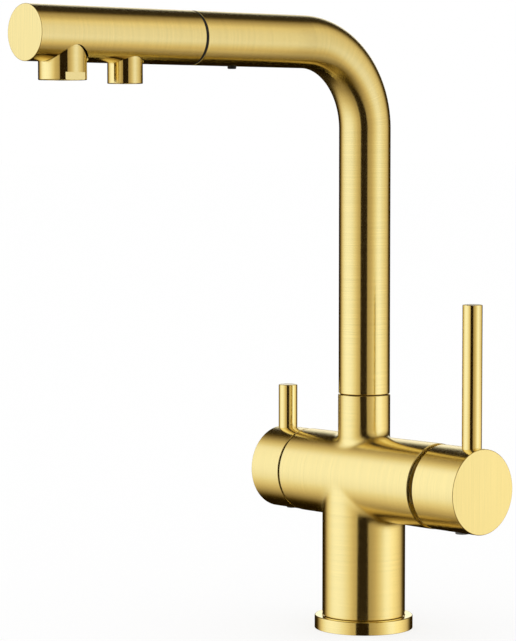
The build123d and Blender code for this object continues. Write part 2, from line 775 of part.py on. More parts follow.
# ---------------------------------------------------------------- mixer handle
with BuildPart() as cartridge_stem:
    knuckle = beside_bar(tilt_reach, -knuckle_width / 2, 1)
    rod(knuckle, knuckle_radius, knuckle_width)
    stem_back = tilt_reach + stem_start
    block(across(stem_back), stem_square, stem_square, stem_reach - stem_back)
    rod(across(stem_ball_reach), stem_arm_radius, tilt_reach - stem_ball_reach)
    # ball at the end of the arm that pushes the disc driver
    with BuildSketch(beside_bar(stem_ball_reach, 0, -1)) as ball_half:
        Circle(stem_ball_radius)
        with Locations((0, -stem_ball_radius)):
            Rectangle(4 * stem_ball_radius, 2 * stem_ball_radius, mode=Mode.SUBTRACT)
    revolve(ball_half.sketch, axis=bar_axis)
    rod(knuckle, tilt_pin_radius + fit, knuckle_width, Mode.SUBTRACT)
save(cartridge_stem, "cartridge_stem")


def lever_seats(x, hub_radius, screw_x, cap_radius):
    """Seats in a hub for its lever's pin and stud and for its set screw and cap."""
    seat = hub_radius - lever_seat
    rod(over_bar(x, seat), lever_radius + fit, 2 * lever_seat, Mode.SUBTRACT)
    rod(over_bar(x, seat - lever_stud), lever_stud_radius + fit, lever_stud, Mode.SUBTRACT)
    rod(over_bar(screw_x, -hub_radius), set_screw_radius + fit, hub_radius, Mode.SUBTRACT)
    rod(over_bar(screw_x, -hub_radius), cap_radius + fit, cap_depth, Mode.SUBTRACT)


with BuildPart() as mixer_hub:
    rod(across(mixer_rim), mixer_hub_radius, mixer_length)
    fillet(mixer_hub.edges().group_by(Axis.X)[-1], radius=hub_face_rounding)
    chamfer(mixer_hub.edges().group_by(Axis.X)[0], length=hub_rim_chamfer)
    rod(across(mixer_rim), mixer_hub_radius - mixer_wall, mixer_cavity, Mode.SUBTRACT)
    pocket_depth = stem_pocket_floor - mixer_floor
    rod(across(mixer_floor), stem_pocket_radius, pocket_depth, Mode.SUBTRACT)
    socket = stem_square + 2 * fit
    block(across(mixer_floor), socket, socket, stem_reach - mixer_floor, Mode.SUBTRACT)
    lever_seats(mixer_lever_reach, mixer_hub_radius, mixer_screw_reach, mixer_cap_radius)
save(mixer_hub, "mixer_hub")

with BuildPart() as filter_hub:
    rod(across(-filter_face), filter_hub_radius, filter_length)
    fillet(filter_hub.edges().group_by(Axis.X)[0], radius=hub_face_rounding)
    chamfer(filter_hub.edges().group_by(Axis.X)[-1], length=seam_chamfer)
    rod(across(-filter_floor), filter_cavity_radius, filter_cavity, Mode.SUBTRACT)
    rod(across(-spindle_reach), spindle_radius + fit, spindle_grip, Mode.SUBTRACT)
    lever_seats(-filter_lever_reach, filter_hub_radius, -filter_screw_reach, filter_cap_radius)
save(filter_hub, "filter_hub")

# levers: a polished pin with a threaded stud that is screwed into its hub
for name, reach, hub_radius, length in (
    ("mixer_lever", mixer_lever_reach, mixer_hub_radius, mixer_lever_length),
    ("filter_lever", -filter_lever_reach, filter_hub_radius, filter_lever_length),
):
    lever_foot = hub_radius - lever_seat
    with BuildPart() as lever:
        rod(over_bar(reach, lever_foot), lever_radius, length)
        chamfer(lever.edges().group_by(Axis.Z)[-1], length=lever_edge)
        rod(over_bar(reach, lever_foot - lever_stud), lever_stud_radius, lever_stud)
    save(lever, name)

# set screws that hold the hubs on their stems
for name, reach, grip in (
    ("mixer_set_screw", mixer_screw_reach, stem_square / 2),
    ("filter_set_screw", -filter_screw_reach, spindle_radius),
):
    with BuildPart() as set_screw:
        screw_foot = over_bar(reach, -grip - fit - set_screw_length)
        rod(screw_foot, set_screw_radius, set_screw_length)
        hexagon(screw_foot, set_screw_key, set_screw_length / 2, Mode.SUBTRACT)
    save(set_screw, name)

# caps that cover the set screws
for name, reach, hub_radius, radius, proud in (
    ("mixer_screw_cap", mixer_screw_reach, mixer_hub_radius, mixer_cap_radius, mixer_cap_proud),
    ("filter_screw_cap", -filter_screw_reach, filter_hub_radius, filter_cap_radius, filter_cap_proud),
):
    with BuildPart() as screw_cap:
        rod(over_bar(reach, -hub_radius - proud), radius, cap_depth + proud)
        chamfer(screw_cap.edges().group_by(Axis.Z)[0], length=proud / 2)
    save(screw_cap, name)

# ---------------------------------------------------------------- filter valve
with BuildPart() as filter_valve_seal:
    seal_bore = valve_seal_radius - valve_seal_width
    tube(across(-headwork_back), valve_seal_radius, seal_bore, valve_seal_thickness)
save(filter_valve_seal, "filter_valve_seal")

with BuildPart() as filter_fixed_disc:
    fixed_disc = across(-headwork_back - disc_thickness)
    rod(fixed_disc, valve_cavity - fit, disc_thickness)
    holes(fixed_disc, [(valve_port_span, 0), (-valve_port_span, 0)], valve_port, disc_thickness)
save(filter_fixed_disc, "filter_fixed_disc")

with BuildPart() as filter_turning_disc:
    turning_disc = across(-spindle_back)
    rod(turning_disc, valve_disc_radius, disc_thickness)
    holes(turning_disc, [(0, valve_port_span), (0, -valve_port_span)], valve_port, disc_thickness)
save(filter_turning_disc, "filter_turning_disc")

with BuildPart() as filter_headwork:
    rod(across(-bar_left), valve_radius, bar_left - headwork_back)
    hexagon(across(-headwork_front), headwork_flats, headwork_flange)
    rod(across(-cavity_front), valve_cavity, cavity_front - headwork_back, Mode.SUBTRACT)
    rod(across(-headwork_front), spindle_radius + fit, headwork_front - cavity_front, Mode.SUBTRACT)
save(filter_headwork, "filter_headwork")

spindle_crown = bar_height + spindle_radius
spindle_rings = [-(bar_left - inset) for inset in spindle_ring_insets]
with BuildPart() as filter_spindle:
    rod(across(-spindle_back - spindle_flange), valve_disc_radius, spindle_flange)
    rod(across(-spindle_reach), spindle_radius, spindle_reach - spindle_back)
    with BuildSketch(Plane.XZ) as spindle_grooves:
        with Locations(*[(x, spindle_crown) for x in spindle_rings]):
            Rectangle(o_ring_room * spindle_ring_section, 2 * spindle_ring_section)
        with Locations((-clip_back - spindle_clip_height / 2, spindle_crown)):
            Rectangle(spindle_clip_height + fit, 2 * spindle_clip_groove)
    revolve(spindle_grooves.sketch, axis=bar_axis, mode=Mode.SUBTRACT)
save(filter_spindle, "filter_spindle")

with BuildPart() as filter_spindle_o_rings:
    with BuildSketch(Plane.XZ) as spindle_ring_sections:
        with Locations(*[(x, spindle_crown - spindle_ring_section / 2) for x in spindle_rings]):
            Circle(spindle_ring_section / 2)
    revolve(spindle_ring_sections.sketch, axis=bar_axis)
save(filter_spindle_o_rings, "filter_spindle_o_rings")

with BuildPart() as filter_spindle_clip:
    clip_inner = spindle_radius - spindle_clip_groove
    clip_radius = clip_inner + spindle_clip_width
    tube(across(-clip_back - spindle_clip_height), clip_radius, clip_inner, spindle_clip_height)
    clip_middle = -clip_back - spindle_clip_height / 2
    clip_mouth = Plane(origin=(clip_middle, 0, bar_height), x_dir=(1, 0, 0), z_dir=(0, 0, -1))
    block(clip_mouth, 2 * spindle_clip_height, spindle_clip_mouth, 2 * clip_radius, Mode.SUBTRACT)
save(filter_spindle_clip, "filter_spindle_clip")
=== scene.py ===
"""Three way filtered water tap: its look, its studio and the meshes that stand for CAD nodes."""

from math import cos, pi, radians, sin, tan

import bmesh
import bpy
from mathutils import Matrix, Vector


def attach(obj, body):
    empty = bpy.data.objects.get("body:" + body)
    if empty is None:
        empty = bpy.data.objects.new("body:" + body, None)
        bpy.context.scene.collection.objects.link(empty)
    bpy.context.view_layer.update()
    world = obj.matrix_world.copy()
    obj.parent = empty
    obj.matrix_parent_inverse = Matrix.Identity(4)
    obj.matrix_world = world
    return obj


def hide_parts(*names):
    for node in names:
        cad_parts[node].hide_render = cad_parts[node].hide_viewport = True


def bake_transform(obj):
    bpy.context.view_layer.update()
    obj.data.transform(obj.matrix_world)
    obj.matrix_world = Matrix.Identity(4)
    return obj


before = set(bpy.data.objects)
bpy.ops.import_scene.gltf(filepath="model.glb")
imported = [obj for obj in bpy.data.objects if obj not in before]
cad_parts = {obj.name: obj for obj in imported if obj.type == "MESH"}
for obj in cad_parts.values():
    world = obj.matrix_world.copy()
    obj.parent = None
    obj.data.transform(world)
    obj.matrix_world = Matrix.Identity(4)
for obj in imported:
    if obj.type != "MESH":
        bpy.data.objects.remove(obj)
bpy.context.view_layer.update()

# Lengths of the object are in millimetres until a mesh is made. The studio and the
# materials are in metres.
MM = 0.001
SEGMENTS = 144
ROUNDING_STEPS = 4
CREASE = 28  # degrees between faces, over which their edge stays sharp

# ---------------------------------------------------------------- sizes shared with the solids
# A reach is measured from the column's axis, a drop from the arm's axis.
BAR_HEIGHT = 83.2
ARM_HEIGHT = 318.8
BEND_RADIUS = 46.0
EDGE = 0.3  # chamfer of the tubes at the seams

RING_RADIUS, RING_HEIGHT = 26.9, 7.2
FOOT_RADIUS, FOOT_HEIGHT = 22.75, 6.2  # seat of the column's foot in the ring
SEAL_RADIUS, SEAL_HEIGHT = 21.45, 1.8  # recess for the seal under the ring

SHANK_RADIUS, SHANK_BORE = 16.5, 13.8
SHANK_HOLE = 16.55  # in what the shank passes through
SHANK_FOOT, SHANK_TOP = -62.0, 24.2
GASKET_RADIUS, GASKET_TOP = 27, -30
WASHER_RADIUS, WASHER_TOP = 28, -33
NUT_FLATS, NUT_TOP, NUT_FOOT = 41.0, -35.5, -45.5

SPOUT_FOOT = 129.05
TUBE_RADIUS, TUBE_BORE = 14.0, 12.7
DOCK_REACH = 122.6
DOCK_BACK, DOCK_FRONT = 89.4, 124.0
DOCK_BORE, DOCK_RADIUS, DOCK_FLANGE = 10.3, 12.65, 13.9
SNAP_REACH = 95.4
SNAP_RADIUS, SNAP_HOLE = 2.3, 2.45
SNAP_ROOT, SNAP_TIP = 11.65, 15.3

SHELL_BACK, SHELL_END, HEAD_REACH = 124.1, 225.7, 228.2
SHELL_BORE = 12.2
MAIN_REACH, FILTER_REACH = 205.3, 166.1
MAIN_SEAT, FILTER_SEAT = 4.0, 6.0
MAIN_HOLE, FILTER_HOLE = 12.8, 9.25
MAIN_RADIUS, MAIN_BORE, MAIN_DROP = 12.0, 8.0, 22.8
FLAT_ASIDE, FLAT_DROP = 10.4, 19.1  # wrench flats, from the outlet's axis and from the arm's
AERATOR_RECESS, AERATOR_DROP = 9.3, 13.7
HOUSING_RADIUS, HOUSING_BORE, HOUSING_DROP = 9.25, 8.1, 22.2
FILTER_RADIUS, FILTER_BORE, FILTER_DROP = 8.9, 7.0, 24.0

HUB_RADIUS = 22.65
LEVER_RADIUS, LEVER_SEAT = 5.25, 21.15
STUD_RADIUS, STUD_FOOT = 3.0, 12.15
MIXER_LEVER_X, MIXER_LEVER_TOP = 81.6, 97.85
FILTER_LEVER_X, FILTER_LEVER_TOP = -62.05, 46.45
MIXER_CAP_X, MIXER_CAP_RADIUS, MIXER_CAP_PROUD = 74.9, 3.6, 0.8
FILTER_CAP_X, FILTER_CAP_RADIUS, FILTER_CAP_PROUD = -58.5, 3.0, 0.4
CAP_ROOT = 18.65

HOSE_FOOT = -50.0
HOSE_REACH = 115.0
HOSE_PULL = 400.0
HOSE_RADIUS = 5.0

# ---------------------------------------------------------------- camera
CAMERA_AZIMUTH = radians(48.5721)
CAMERA_PITCH = radians(3.7934)
CAMERA_PLACE = Vector((1.0396, -0.99478, 0.26403))
FOCAL_PIXELS = 2642.226
PHOTO_HEIGHT = 641  # pixels
SENSOR = 36.0
CLIP_NEAR, CLIP_FAR = 0.05, 60


def add_camera():
    data = bpy.data.cameras.new("photo_camera")
    data.lens = FOCAL_PIXELS / PHOTO_HEIGHT * SENSOR
    data.clip_start, data.clip_end = CLIP_NEAR, CLIP_FAR
    camera = bpy.data.objects.new("photo_camera", data)
    bpy.context.scene.collection.objects.link(camera)
    level = cos(CAMERA_PITCH)
    ahead = Vector(
        (-sin(CAMERA_AZIMUTH) * level, cos(CAMERA_AZIMUTH) * level, -sin(CAMERA_PITCH))
    )
    camera.location = CAMERA_PLACE
    camera.rotation_mode = "QUATERNION"
    camera.rotation_quaternion = ahead.to_track_quat("-Z", "Y")
    bpy.context.scene.camera = camera


# ---------------------------------------------------------------- node graphs
class Graph:
    """Short ways to add nodes to a node tree."""

    def __init__(self, tree):
        self.tree = tree
        tree.nodes.clear()

    def add(self, kind, inputs=None, **settings):
        node = self.tree.nodes.new(kind)
        for name, value in settings.items():
            setattr(node, name, value)
        for name, value in (inputs or {}).items():
            self.feed(node.inputs[name], value)
        return node

    def feed(self, socket, value):
        if isinstance(value, bpy.types.NodeSocket):
            self.tree.links.new(value, socket)
        else:
            socket.default_value = value

    def calc(self, operation, *values):
        node = self.add("ShaderNodeMath", dict(enumerate(values)), operation=operation)
        return node.outputs[0]

    def vector(self, operation, *values):
        node = self.add("ShaderNodeVectorMath", dict(enumerate(values)), operation=operation)
        return node.outputs["Value" if operation == "DOT_PRODUCT" else "Vector"]

    def span(self, value, low, high, to_low=0.0, to_high=1.0, smooth=False):
        node = self.add(
            "ShaderNodeMapRange",
            {0: value, 1: low, 2: high, 3: to_low, 4: to_high},
            interpolation_type="SMOOTHSTEP" if smooth else "LINEAR",
        )
        return node.outputs[0]

    def ramp(self, value, stops):
        node = self.add("ShaderNodeValToRGB", {0: value})
        elements = node.color_ramp.elements
        elements[0].position, elements[0].color = stops[0][0], (*stops[0][1], 1)
        elements[1].position, elements[1].color = stops[-1][0], (*stops[-1][1], 1)
        for place, colour in stops[1:-1]:
            elements.new(place).color = (*colour, 1)
        return node.outputs["Color"]

    def mix(self, factor, first, second):
        node = self.add("ShaderNodeMix", data_type="RGBA")
        self.feed(node.inputs[0], factor)
        self.feed(node.inputs[6], first)
        self.feed(node.inputs[7], second)
        return node.outputs[2]

    def noise(self, vector, scale=1.0, detail=2.0, roughness=0.5):
        node = self.add(
            "ShaderNodeTexNoise",
            {"Vector": vector, "Scale": scale, "Detail": detail, "Roughness": roughness},
        )
        return node.outputs["Fac"]


def new_material(name):
    material = bpy.data.materials.new(name)
    material.use_nodes = True
    return material, Graph(material.node_tree)


# ---------------------------------------------------------------- studio
# brightness round the object: degrees to the right of the camera, level
ROUND = (
    (-180, 0.008),
    (-148, 0.012),
    (-141, 0.03),
    (-133, 0.22),
    (-125, 0.50),
    (-117, 0.74),
    (-108, 0.92),
    (-98, 1.04),
    (-85, 1.10),
    (-70, 1.06),
    (-60, 0.98),
    (-50, 0.86),
    (-40, 0.70),
    (-30, 0.50),
    (-15, 0.40),
    (0, 0.35),
    (15, 0.40),
    (28, 0.54),
    (39, 0.76),
    (51, 1.03),
    (60, 1.20),
    (70, 1.22),
    (80, 1.06),
    (90, 0.96),
    (103, 0.79),
    (112, 0.67),
    (121, 0.49),
    (128, 0.20),
    (136, 0.02),
    (180, 0.008),
)
# the same over the height, left and right of the camera: degrees above the horizon, factor
RISE_LEFT = (
    (-90, 0.05),
    (-60, 0.26),
    (-41, 0.56),
    (-30, 0.76),
    (-20, 0.92),
    (-8, 1.0),
    (0, 1.03),
    (35, 1.08),
    (44, 0.74),
    (54, 0.26),
    (66, 0.06),
    (90, 0.05),
)
RISE_RIGHT = (
    (-90, 0.02),
    (-60, 0.07),
    (-45, 0.27),
    (-34, 0.50),
    (-26, 0.67),
    (-18, 0.81),
    (-10, 0.90),
    (-3, 0.91),
    (5, 0.87),
    (28, 0.84),
    (42, 0.74),
    (54, 0.50),
    (70, 0.25),
    (90, 0.1),
)
TOP_LEVEL = 1.3  # the ramps hold levels as shares of this
STUDIO_CENTRE = Vector((0, 0, 0.17))
DARK = (0.016, 0.008, 0.001)
# level, red and blue as shares of green
WARMTH = (
    (0, 2.0, 0.03),
    (0.03, 1.7, 0.12),
    (0.09, 1.48, 0.35),
    (0.18, 1.33, 0.55),
    (0.31, 1.26, 0.60),
    (0.48, 1.22, 0.63),
    (0.68, 1.14, 0.73),
    (0.85, 1.05, 0.86),
    (1.02, 0.98, 1.09),
    (1.3, 0.95, 1.15),
)
TOP_WARMTH = 2.0  # the ramp holds them as shares of this
SIDE_BLEND = 20  # degrees to each side of the camera, between the left and the right rise
FARTHER = 9  # degrees that the left light reaches farther round over the object
FARTHER_RISE = (20, 40)  # degrees above the horizon, from none of that to all of it
BACKDROP = (1.2, 1.2, 1.2)
BACKDROP_RISE = radians(12)
BACKDROP_TURN = radians(4)
BACKDROP_EDGE = (20, 11.5)  # degrees from its middle, from nothing to full
BACKDROP_FOOT = (2, 8)  # degrees above the horizon, from nothing to full


def level_ramp(g, place, low, high, table):
    """Reads a table of (degrees, level) at an angle given in radians."""
    share = g.span(place, radians(low), radians(high))
    stops = [((at - low) / (high - low), (level / TOP_LEVEL,) * 3) for at, level in table]
    return g.calc("MULTIPLY", g.ramp(share, stops), TOP_LEVEL)


def room_light(g, direction):
    """Colour that the studio sends from this direction."""
    right = (cos(CAMERA_AZIMUTH), sin(CAMERA_AZIMUTH), 0)
    toward = (sin(CAMERA_AZIMUTH), -cos(CAMERA_AZIMUTH), 0)
    across = g.vector("DOT_PRODUCT", direction, right)
    along = g.vector("DOT_PRODUCT", direction, toward)
    elevation = g.calc("ARCSINE", g.vector("DOT_PRODUCT", direction, (0, 0, 1)))
    # the left light reaches farther round over the object than beside it
    farther = g.calc(
        "MULTIPLY",
        g.span(elevation, *map(radians, FARTHER_RISE), 0, radians(FARTHER)),
        g.calc("LESS_THAN", across, 0),
    )
    azimuth = g.calc("ADD", g.calc("ARCTAN2", across, along), farther)
    left = level_ramp(g, elevation, -90, 90, RISE_LEFT)
    right_side = level_ramp(g, elevation, -90, 90, RISE_RIGHT)
    side = g.span(azimuth, radians(-SIDE_BLEND), radians(SIDE_BLEND), smooth=True)
    rise = g.calc(
        "ADD",
        g.calc("MULTIPLY", left, g.calc("SUBTRACT", 1, side)),
        g.calc("MULTIPLY", right_side, side),
    )
    level = g.calc("MULTIPLY", level_ramp(g, azimuth, -180, 180, ROUND), rise)
    # the dimmer the light, the warmer
    stops = [
        (at / TOP_LEVEL, (red / TOP_WARMTH, 1 / TOP_WARMTH, blue / TOP_WARMTH))
        for at, red, blue in WARMTH
    ]
    hue = g.ramp(g.calc("DIVIDE", level, TOP_LEVEL), stops)
    room = g.vector("MULTIPLY", hue, g.calc("MULTIPLY", level, TOP_WARMTH))
    # the white backdrop behind the object, over the horizon
    turn = CAMERA_AZIMUTH - BACKDROP_TURN
    behind = (
        -sin(turn) * cos(BACKDROP_RISE),
        cos(turn) * cos(BACKDROP_RISE),
        sin(BACKDROP_RISE),
    )
    away = g.calc("ARCCOSINE", g.vector("DOT_PRODUCT", direction, behind))
    disc = g.span(away, *map(radians, BACKDROP_EDGE), smooth=True)
    over = g.span(elevation, *map(radians, BACKDROP_FOOT), smooth=True)
    return g.mix(g.calc("MULTIPLY", disc, over), room, (*BACKDROP, 1))


def studio():
    """World that is white to the camera and to matt surfaces, and a studio to reflections."""
    world = bpy.data.worlds.new("studio")
    bpy.context.scene.world = world
    world.use_nodes = True
    g = Graph(world.node_tree)
    direction = g.add("ShaderNodeTexCoord").outputs["Generated"]
    seen = room_light(g, direction)
    reflected = g.add("ShaderNodeBackground", {"Color": seen, "Strength": 1.0})
    white = g.add("ShaderNodeBackground", {"Color": (1, 1, 1, 1), "Strength": 1.0})
    glossy = g.add("ShaderNodeLightPath").outputs["Is Glossy Ray"]
    both = g.add(
        "ShaderNodeMixShader", {0: glossy, 1: white.outputs[0], 2: reflected.outputs[0]}
    )
    g.add("ShaderNodeOutputWorld", {"Surface": both.outputs[0]})


def stage_reflected(name, centre, columns, rows, point, surface):
    """Sheet of the studio that only reflections see.

    point(i, j) is a place on it, in metres from its centre, for shares from 0 to 1."""
    vertices = [
        point(i / columns, j / rows) for i in range(columns + 1) for j in range(rows + 1)
    ]
    faces = []
    for i in range(columns):
        for j in range(rows):
            k = i * (rows + 1) + j
            faces.append((k, k + 1, k + rows + 2, k + rows + 1))
    mesh = bpy.data.meshes.new(name)
    mesh.from_pydata(vertices, [], faces)
    sheet = bpy.data.objects.new(name, mesh)
    sheet.location = centre
    bpy.context.scene.collection.objects.link(sheet)
    material, g = new_material(name)
    place = g.add("ShaderNodeTexCoord").outputs["Object"]
    g.add("ShaderNodeOutputMaterial", {"Surface": surface(g, place).outputs[0]})
    mesh.materials.append(material)
    sheet.visible_camera = False
    sheet.visible_diffuse = False
    sheet.visible_transmission = False
    sheet.visible_shadow = False


def add_panel(name, distance, azimuths, elevations, colour=None):
    """Part of a sphere round the object.

    Azimuths are to the right of the camera. Without a colour it shows the room's light."""

    def point(i, j):
        turn = radians(azimuths[0] + (azimuths[1] - azimuths[0]) * i) + CAMERA_AZIMUTH
        rise = radians(elevations[0] + (elevations[1] - elevations[0]) * j)
        level = distance * cos(rise)
        return Vector((sin(turn) * level, -cos(turn) * level, distance * sin(rise)))

    def surface(g, place):
        light = (*colour, 1) if colour else room_light(g, g.vector("NORMALIZE", place))
        return g.add("ShaderNodeEmission", {"Color": light, "Strength": 1.0})

    stage_reflected(name, STUDIO_CENTRE, 48, 24, point, surface)


# share of the fill's azimuths, level
FILL = (
    (0, 0),
    (0.15, 0.01),
    (0.3, 0.07),
    (0.45, 0.17),
    (0.6, 0.14),
    (0.75, 0.08),
    (0.9, 0.06),
    (1, 0),
)
FILL_COLOUR = (1.05, 1, 0.88, 1)
FILL_AZIMUTHS = (35, 135)  # degrees to the right of the camera
FILL_HEIGHTS = (-0.12, 0.155)
FILL_DISTANCE = 0.2
FILL_FADE = 0.06  # down from its upper edge


def add_fill():
    """A glow low at the right, that brightens the column and the mixer handle's face."""
    low, high = FILL_HEIGHTS
    first, last = FILL_AZIMUTHS

    def point(i, j):
        turn = radians(first + (last - first) * i) + CAMERA_AZIMUTH
        return (
            FILL_DISTANCE * sin(turn),
            -FILL_DISTANCE * cos(turn),
            low + (high - low) * j,
        )

    def surface(g, place):
        z = g.add("ShaderNodeSeparateXYZ", {0: place}).outputs[2]
        # the angle from the middle of the glow to this point of it
        middle = radians((first + last) / 2) + CAMERA_AZIMUTH
        across = g.vector("DOT_PRODUCT", place, (cos(middle), sin(middle), 0))
        angle = g.calc("ARCSINE", g.calc("DIVIDE", across, FILL_DISTANCE))
        half = radians(last - first) / 2
        share = g.span(angle, -half, half)
        level = g.ramp(share, [(at, (value,) * 3) for at, value in FILL])
        level = g.calc("MULTIPLY", level, g.span(z, high, high - FILL_FADE, smooth=True))
        glow = g.add("ShaderNodeEmission", {"Color": FILL_COLOUR, "Strength": level})
        clear = g.add("ShaderNodeBsdfTransparent", {"Color": (1, 1, 1, 1)})
        return g.add("ShaderNodeAddShader", {0: clear.outputs[0], 1: glow.outputs[0]})

    stage_reflected("fill", (0, 0, 0), 32, 8, point, surface)


SCRIM_BESIDE = 0.05
SCRIM_REACH = (-0.27, 0.05)
SCRIM_HALF_HEIGHT = 0.05
SCRIM_CORE = 0.4  # share of the half height where it is full
SCRIM_FADE = 0.05  # back from its far edge
SCRIM_SHARE = 0.87  # of the light passes
SCRIM_TINT = (1, 0.975, 0.955)


def add_scrim():
    """A scrim beside the arm, that takes some of the right light from it."""
    near, far = SCRIM_REACH

    def point(i, j):
        return (0, near + (far - near) * i, SCRIM_HALF_HEIGHT * (2 * j - 1))

    def surface(g, place):
        _, y, z = g.add("ShaderNodeSeparateXYZ", {0: place}).outputs
        core = SCRIM_CORE * SCRIM_HALF_HEIGHT
        beside = g.span(g.calc("ABSOLUTE", z), SCRIM_HALF_HEIGHT, core, smooth=True)
        along = g.span(y, far, far - SCRIM_FADE, smooth=True)
        share = g.span(g.calc("MULTIPLY", beside, along), 0, 1, 1, SCRIM_SHARE)
        tint = g.vector("MULTIPLY", share, SCRIM_TINT)
        return g.add("ShaderNodeBsdfTransparent", {"Color": tint})

    stage_reflected("scrim", (SCRIM_BESIDE, 0, ARM_HEIGHT * MM), 8, 4, point, surface)


GAUZE_RADIUS = 0.05
GAUZE_HEIGHTS = (0.15, 0.37)
GAUZE_FADE = 0.12  # up from its lower edge
GAUZE_SHARE = 0.93  # of the light passes


def add_gauze():
    """A gauze round the upper spout, where both lights grow dimmer."""
    low, high = GAUZE_HEIGHTS

    def point(i, j):
        turn = 2 * pi * i
        return (
            GAUZE_RADIUS * cos(turn),
            GAUZE_RADIUS * sin(turn),
            low + (high - low) * j,
        )

    def surface(g, place):
        z = g.add("ShaderNodeSeparateXYZ", {0: place}).outputs[2]
        share = g.span(z, low, low + GAUZE_FADE, 1, GAUZE_SHARE)
        return g.add("ShaderNodeBsdfTransparent", {"Color": share})

    stage_reflected("gauze", (0, 0, 0), 48, 4, point, surface)


FLOOR_HALF = 30.0
FLOOR_WHITENESS = 0.75  # share of plain white that the camera sees in it


def add_floor():
    """Matt white floor that reflections don't see."""
    half = FLOOR_HALF
    mesh = bpy.data.meshes.new("floor")
    mesh.from_pydata(
        [(-half, -half, 0), (half, -half, 0), (half, half, 0), (-half, half, 0)],
        [],
        [(0, 1, 2, 3)],
    )
    plane = bpy.data.objects.new("floor", mesh)
    bpy.context.scene.collection.objects.link(plane)
    material, g = new_material("floor")
    cloth = g.add("ShaderNodeBsdfDiffuse", {"Color": (0.99, 0.99, 0.99, 1)})
    white = g.add("ShaderNodeEmission", {"Color": (1, 1, 1, 1), "Strength": 1.0})
    camera_ray = g.add("ShaderNodeLightPath").outputs["Is Camera Ray"]
    share = g.calc("MULTIPLY", camera_ray, FLOOR_WHITENESS)
    surface = g.add("ShaderNodeMixShader", {0: share, 1: cloth.outputs[0], 2: white.outputs[0]})
    g.add("ShaderNodeOutputMaterial", {"Surface": surface.outputs[0]})
    mesh.materials.append(material)
    plane.visible_glossy = False


# ---------------------------------------------------------------- materials
LINES_ACROSS, LINES_ALONG = 1600.0, 14.0  # coarsest brushing lines to the metre
LINE_SPAN = (0.3, 0.7)  # of the noise, from one end of a look to the other
LINE_DEPTH, GRAIN_DEPTH = 0.00002, 0.0001  # of the relief
GRAIN_SCALE, BROAD_SCALE = 900.0, 60.0  # grains and patches of moulded pieces to the metre
FACE_FROM = 0.9  # share of the axis in the normal of a face square to it
GOLD = (0.94, 0.78, 0.33)

# where the cast body's brushing turns from round the crossbar to round the column
COLUMN_BLEND = (-0.003, 0.007)  # below the 45 degree planes down from the crossbar's axis
NECK_BLEND = (-0.014, -0.023)  # below the crossbar's axis, so these are above it
NECK_AROUND = (0.021, 0.0155)  # from the column's axis

# where the rounding of the cast body's inner corners begins and where it is full
FILLET_ASIDE = (0.040, 0.030)
FILLET_ABOVE = (0.116, 0.108)
FILLET_UNDER = (0.036, 0.048)
FILLET_RADIUS = 0.006


def shade(colour, factor):
    return (*[channel * factor for channel in colour], 1)


def brush_lines(g, coordinates):
    """Fine lines that cross the first coordinate."""
    stretched = g.vector("MULTIPLY", coordinates, (LINES_ACROSS, LINES_ALONG, LINES_ALONG))
    return g.noise(stretched, detail=3.0, roughness=0.7)


def brush_of_turned(g):
    """Brushing lines and grain of turned meshes, which carry their coordinates."""
    brush = g.add("ShaderNodeAttribute", attribute_name="brush").outputs["Vector"]
    grain = g.add("ShaderNodeTangent", direction_type="UV_MAP", uv_map="grain").outputs[0]
    return brush_lines(g, brush), grain


def to_world(g, vector):
    transform = g.add(
        "ShaderNodeVectorTransform",
        {0: vector},
        vector_type="VECTOR",
        convert_from="OBJECT",
        convert_to="WORLD",
    )
    return transform.outputs[0]


def places(g, *order):
    """Object coordinates one by one, and as a vector for each order of them that is given."""
    split = g.add(
        "ShaderNodeSeparateXYZ", {0: g.add("ShaderNodeTexCoord").outputs["Object"]}
    ).outputs
    vectors = [
        g.add("ShaderNodeCombineXYZ", {i: split[k] for i, k in enumerate(three)}).outputs[0]
        for three in order
    ]
    return split, vectors


def brush_along(axis):
    """Brushing round an axis (0, 1 or 2), and straight lines on faces square to it."""

    def build(g):
        normal = g.vector("ABSOLUTE", g.add("ShaderNodeTexCoord").outputs["Normal"])
        unit = [tuple(float(i == k) for i in range(3)) for k in range(3)]
        face = g.calc("GREATER_THAN", g.vector("DOT_PRODUCT", normal, unit[axis]), FACE_FROM)
        level, rest = [k for k in range(3) if k != axis]
        _, (sides, ends) = places(g, (axis, level, rest), (level, rest, axis))
        grain = g.mix(face, (*unit[axis], 1), (*unit[level], 1))
        lines = g.mix(face, brush_lines(g, sides), brush_lines(g, ends))
        return lines, to_world(g, grain)

    return build


def brush_of_cast(g):
    """Brushing of the cast body: round the column, the crossbar and the neck."""
    (x, y, z), (round_upright, round_bar) = places(g, (2, 0, 1), (0, 1, 2))
    depth = g.calc("SUBTRACT", BAR_HEIGHT * MM, z)
    below = g.calc("SUBTRACT", depth, g.calc("ABSOLUTE", x))
    column_part = g.span(below, *COLUMN_BLEND, smooth=True)
    radius = g.calc("SQRT", g.calc("ADD", g.calc("MULTIPLY", x, x), g.calc("MULTIPLY", y, y)))
    neck_part = g.calc(
        "MULTIPLY",
        g.span(depth, *NECK_BLEND, smooth=True),
        g.span(radius, *NECK_AROUND, smooth=True),
    )
    upright = g.calc("MAXIMUM", column_part, neck_part)
    grain = g.mix(upright, (1, 0, 0, 1), (0, 0, 1, 1))
    lines = g.mix(upright, brush_lines(g, round_bar), brush_lines(g, round_upright))
    return lines, to_world(g, grain)


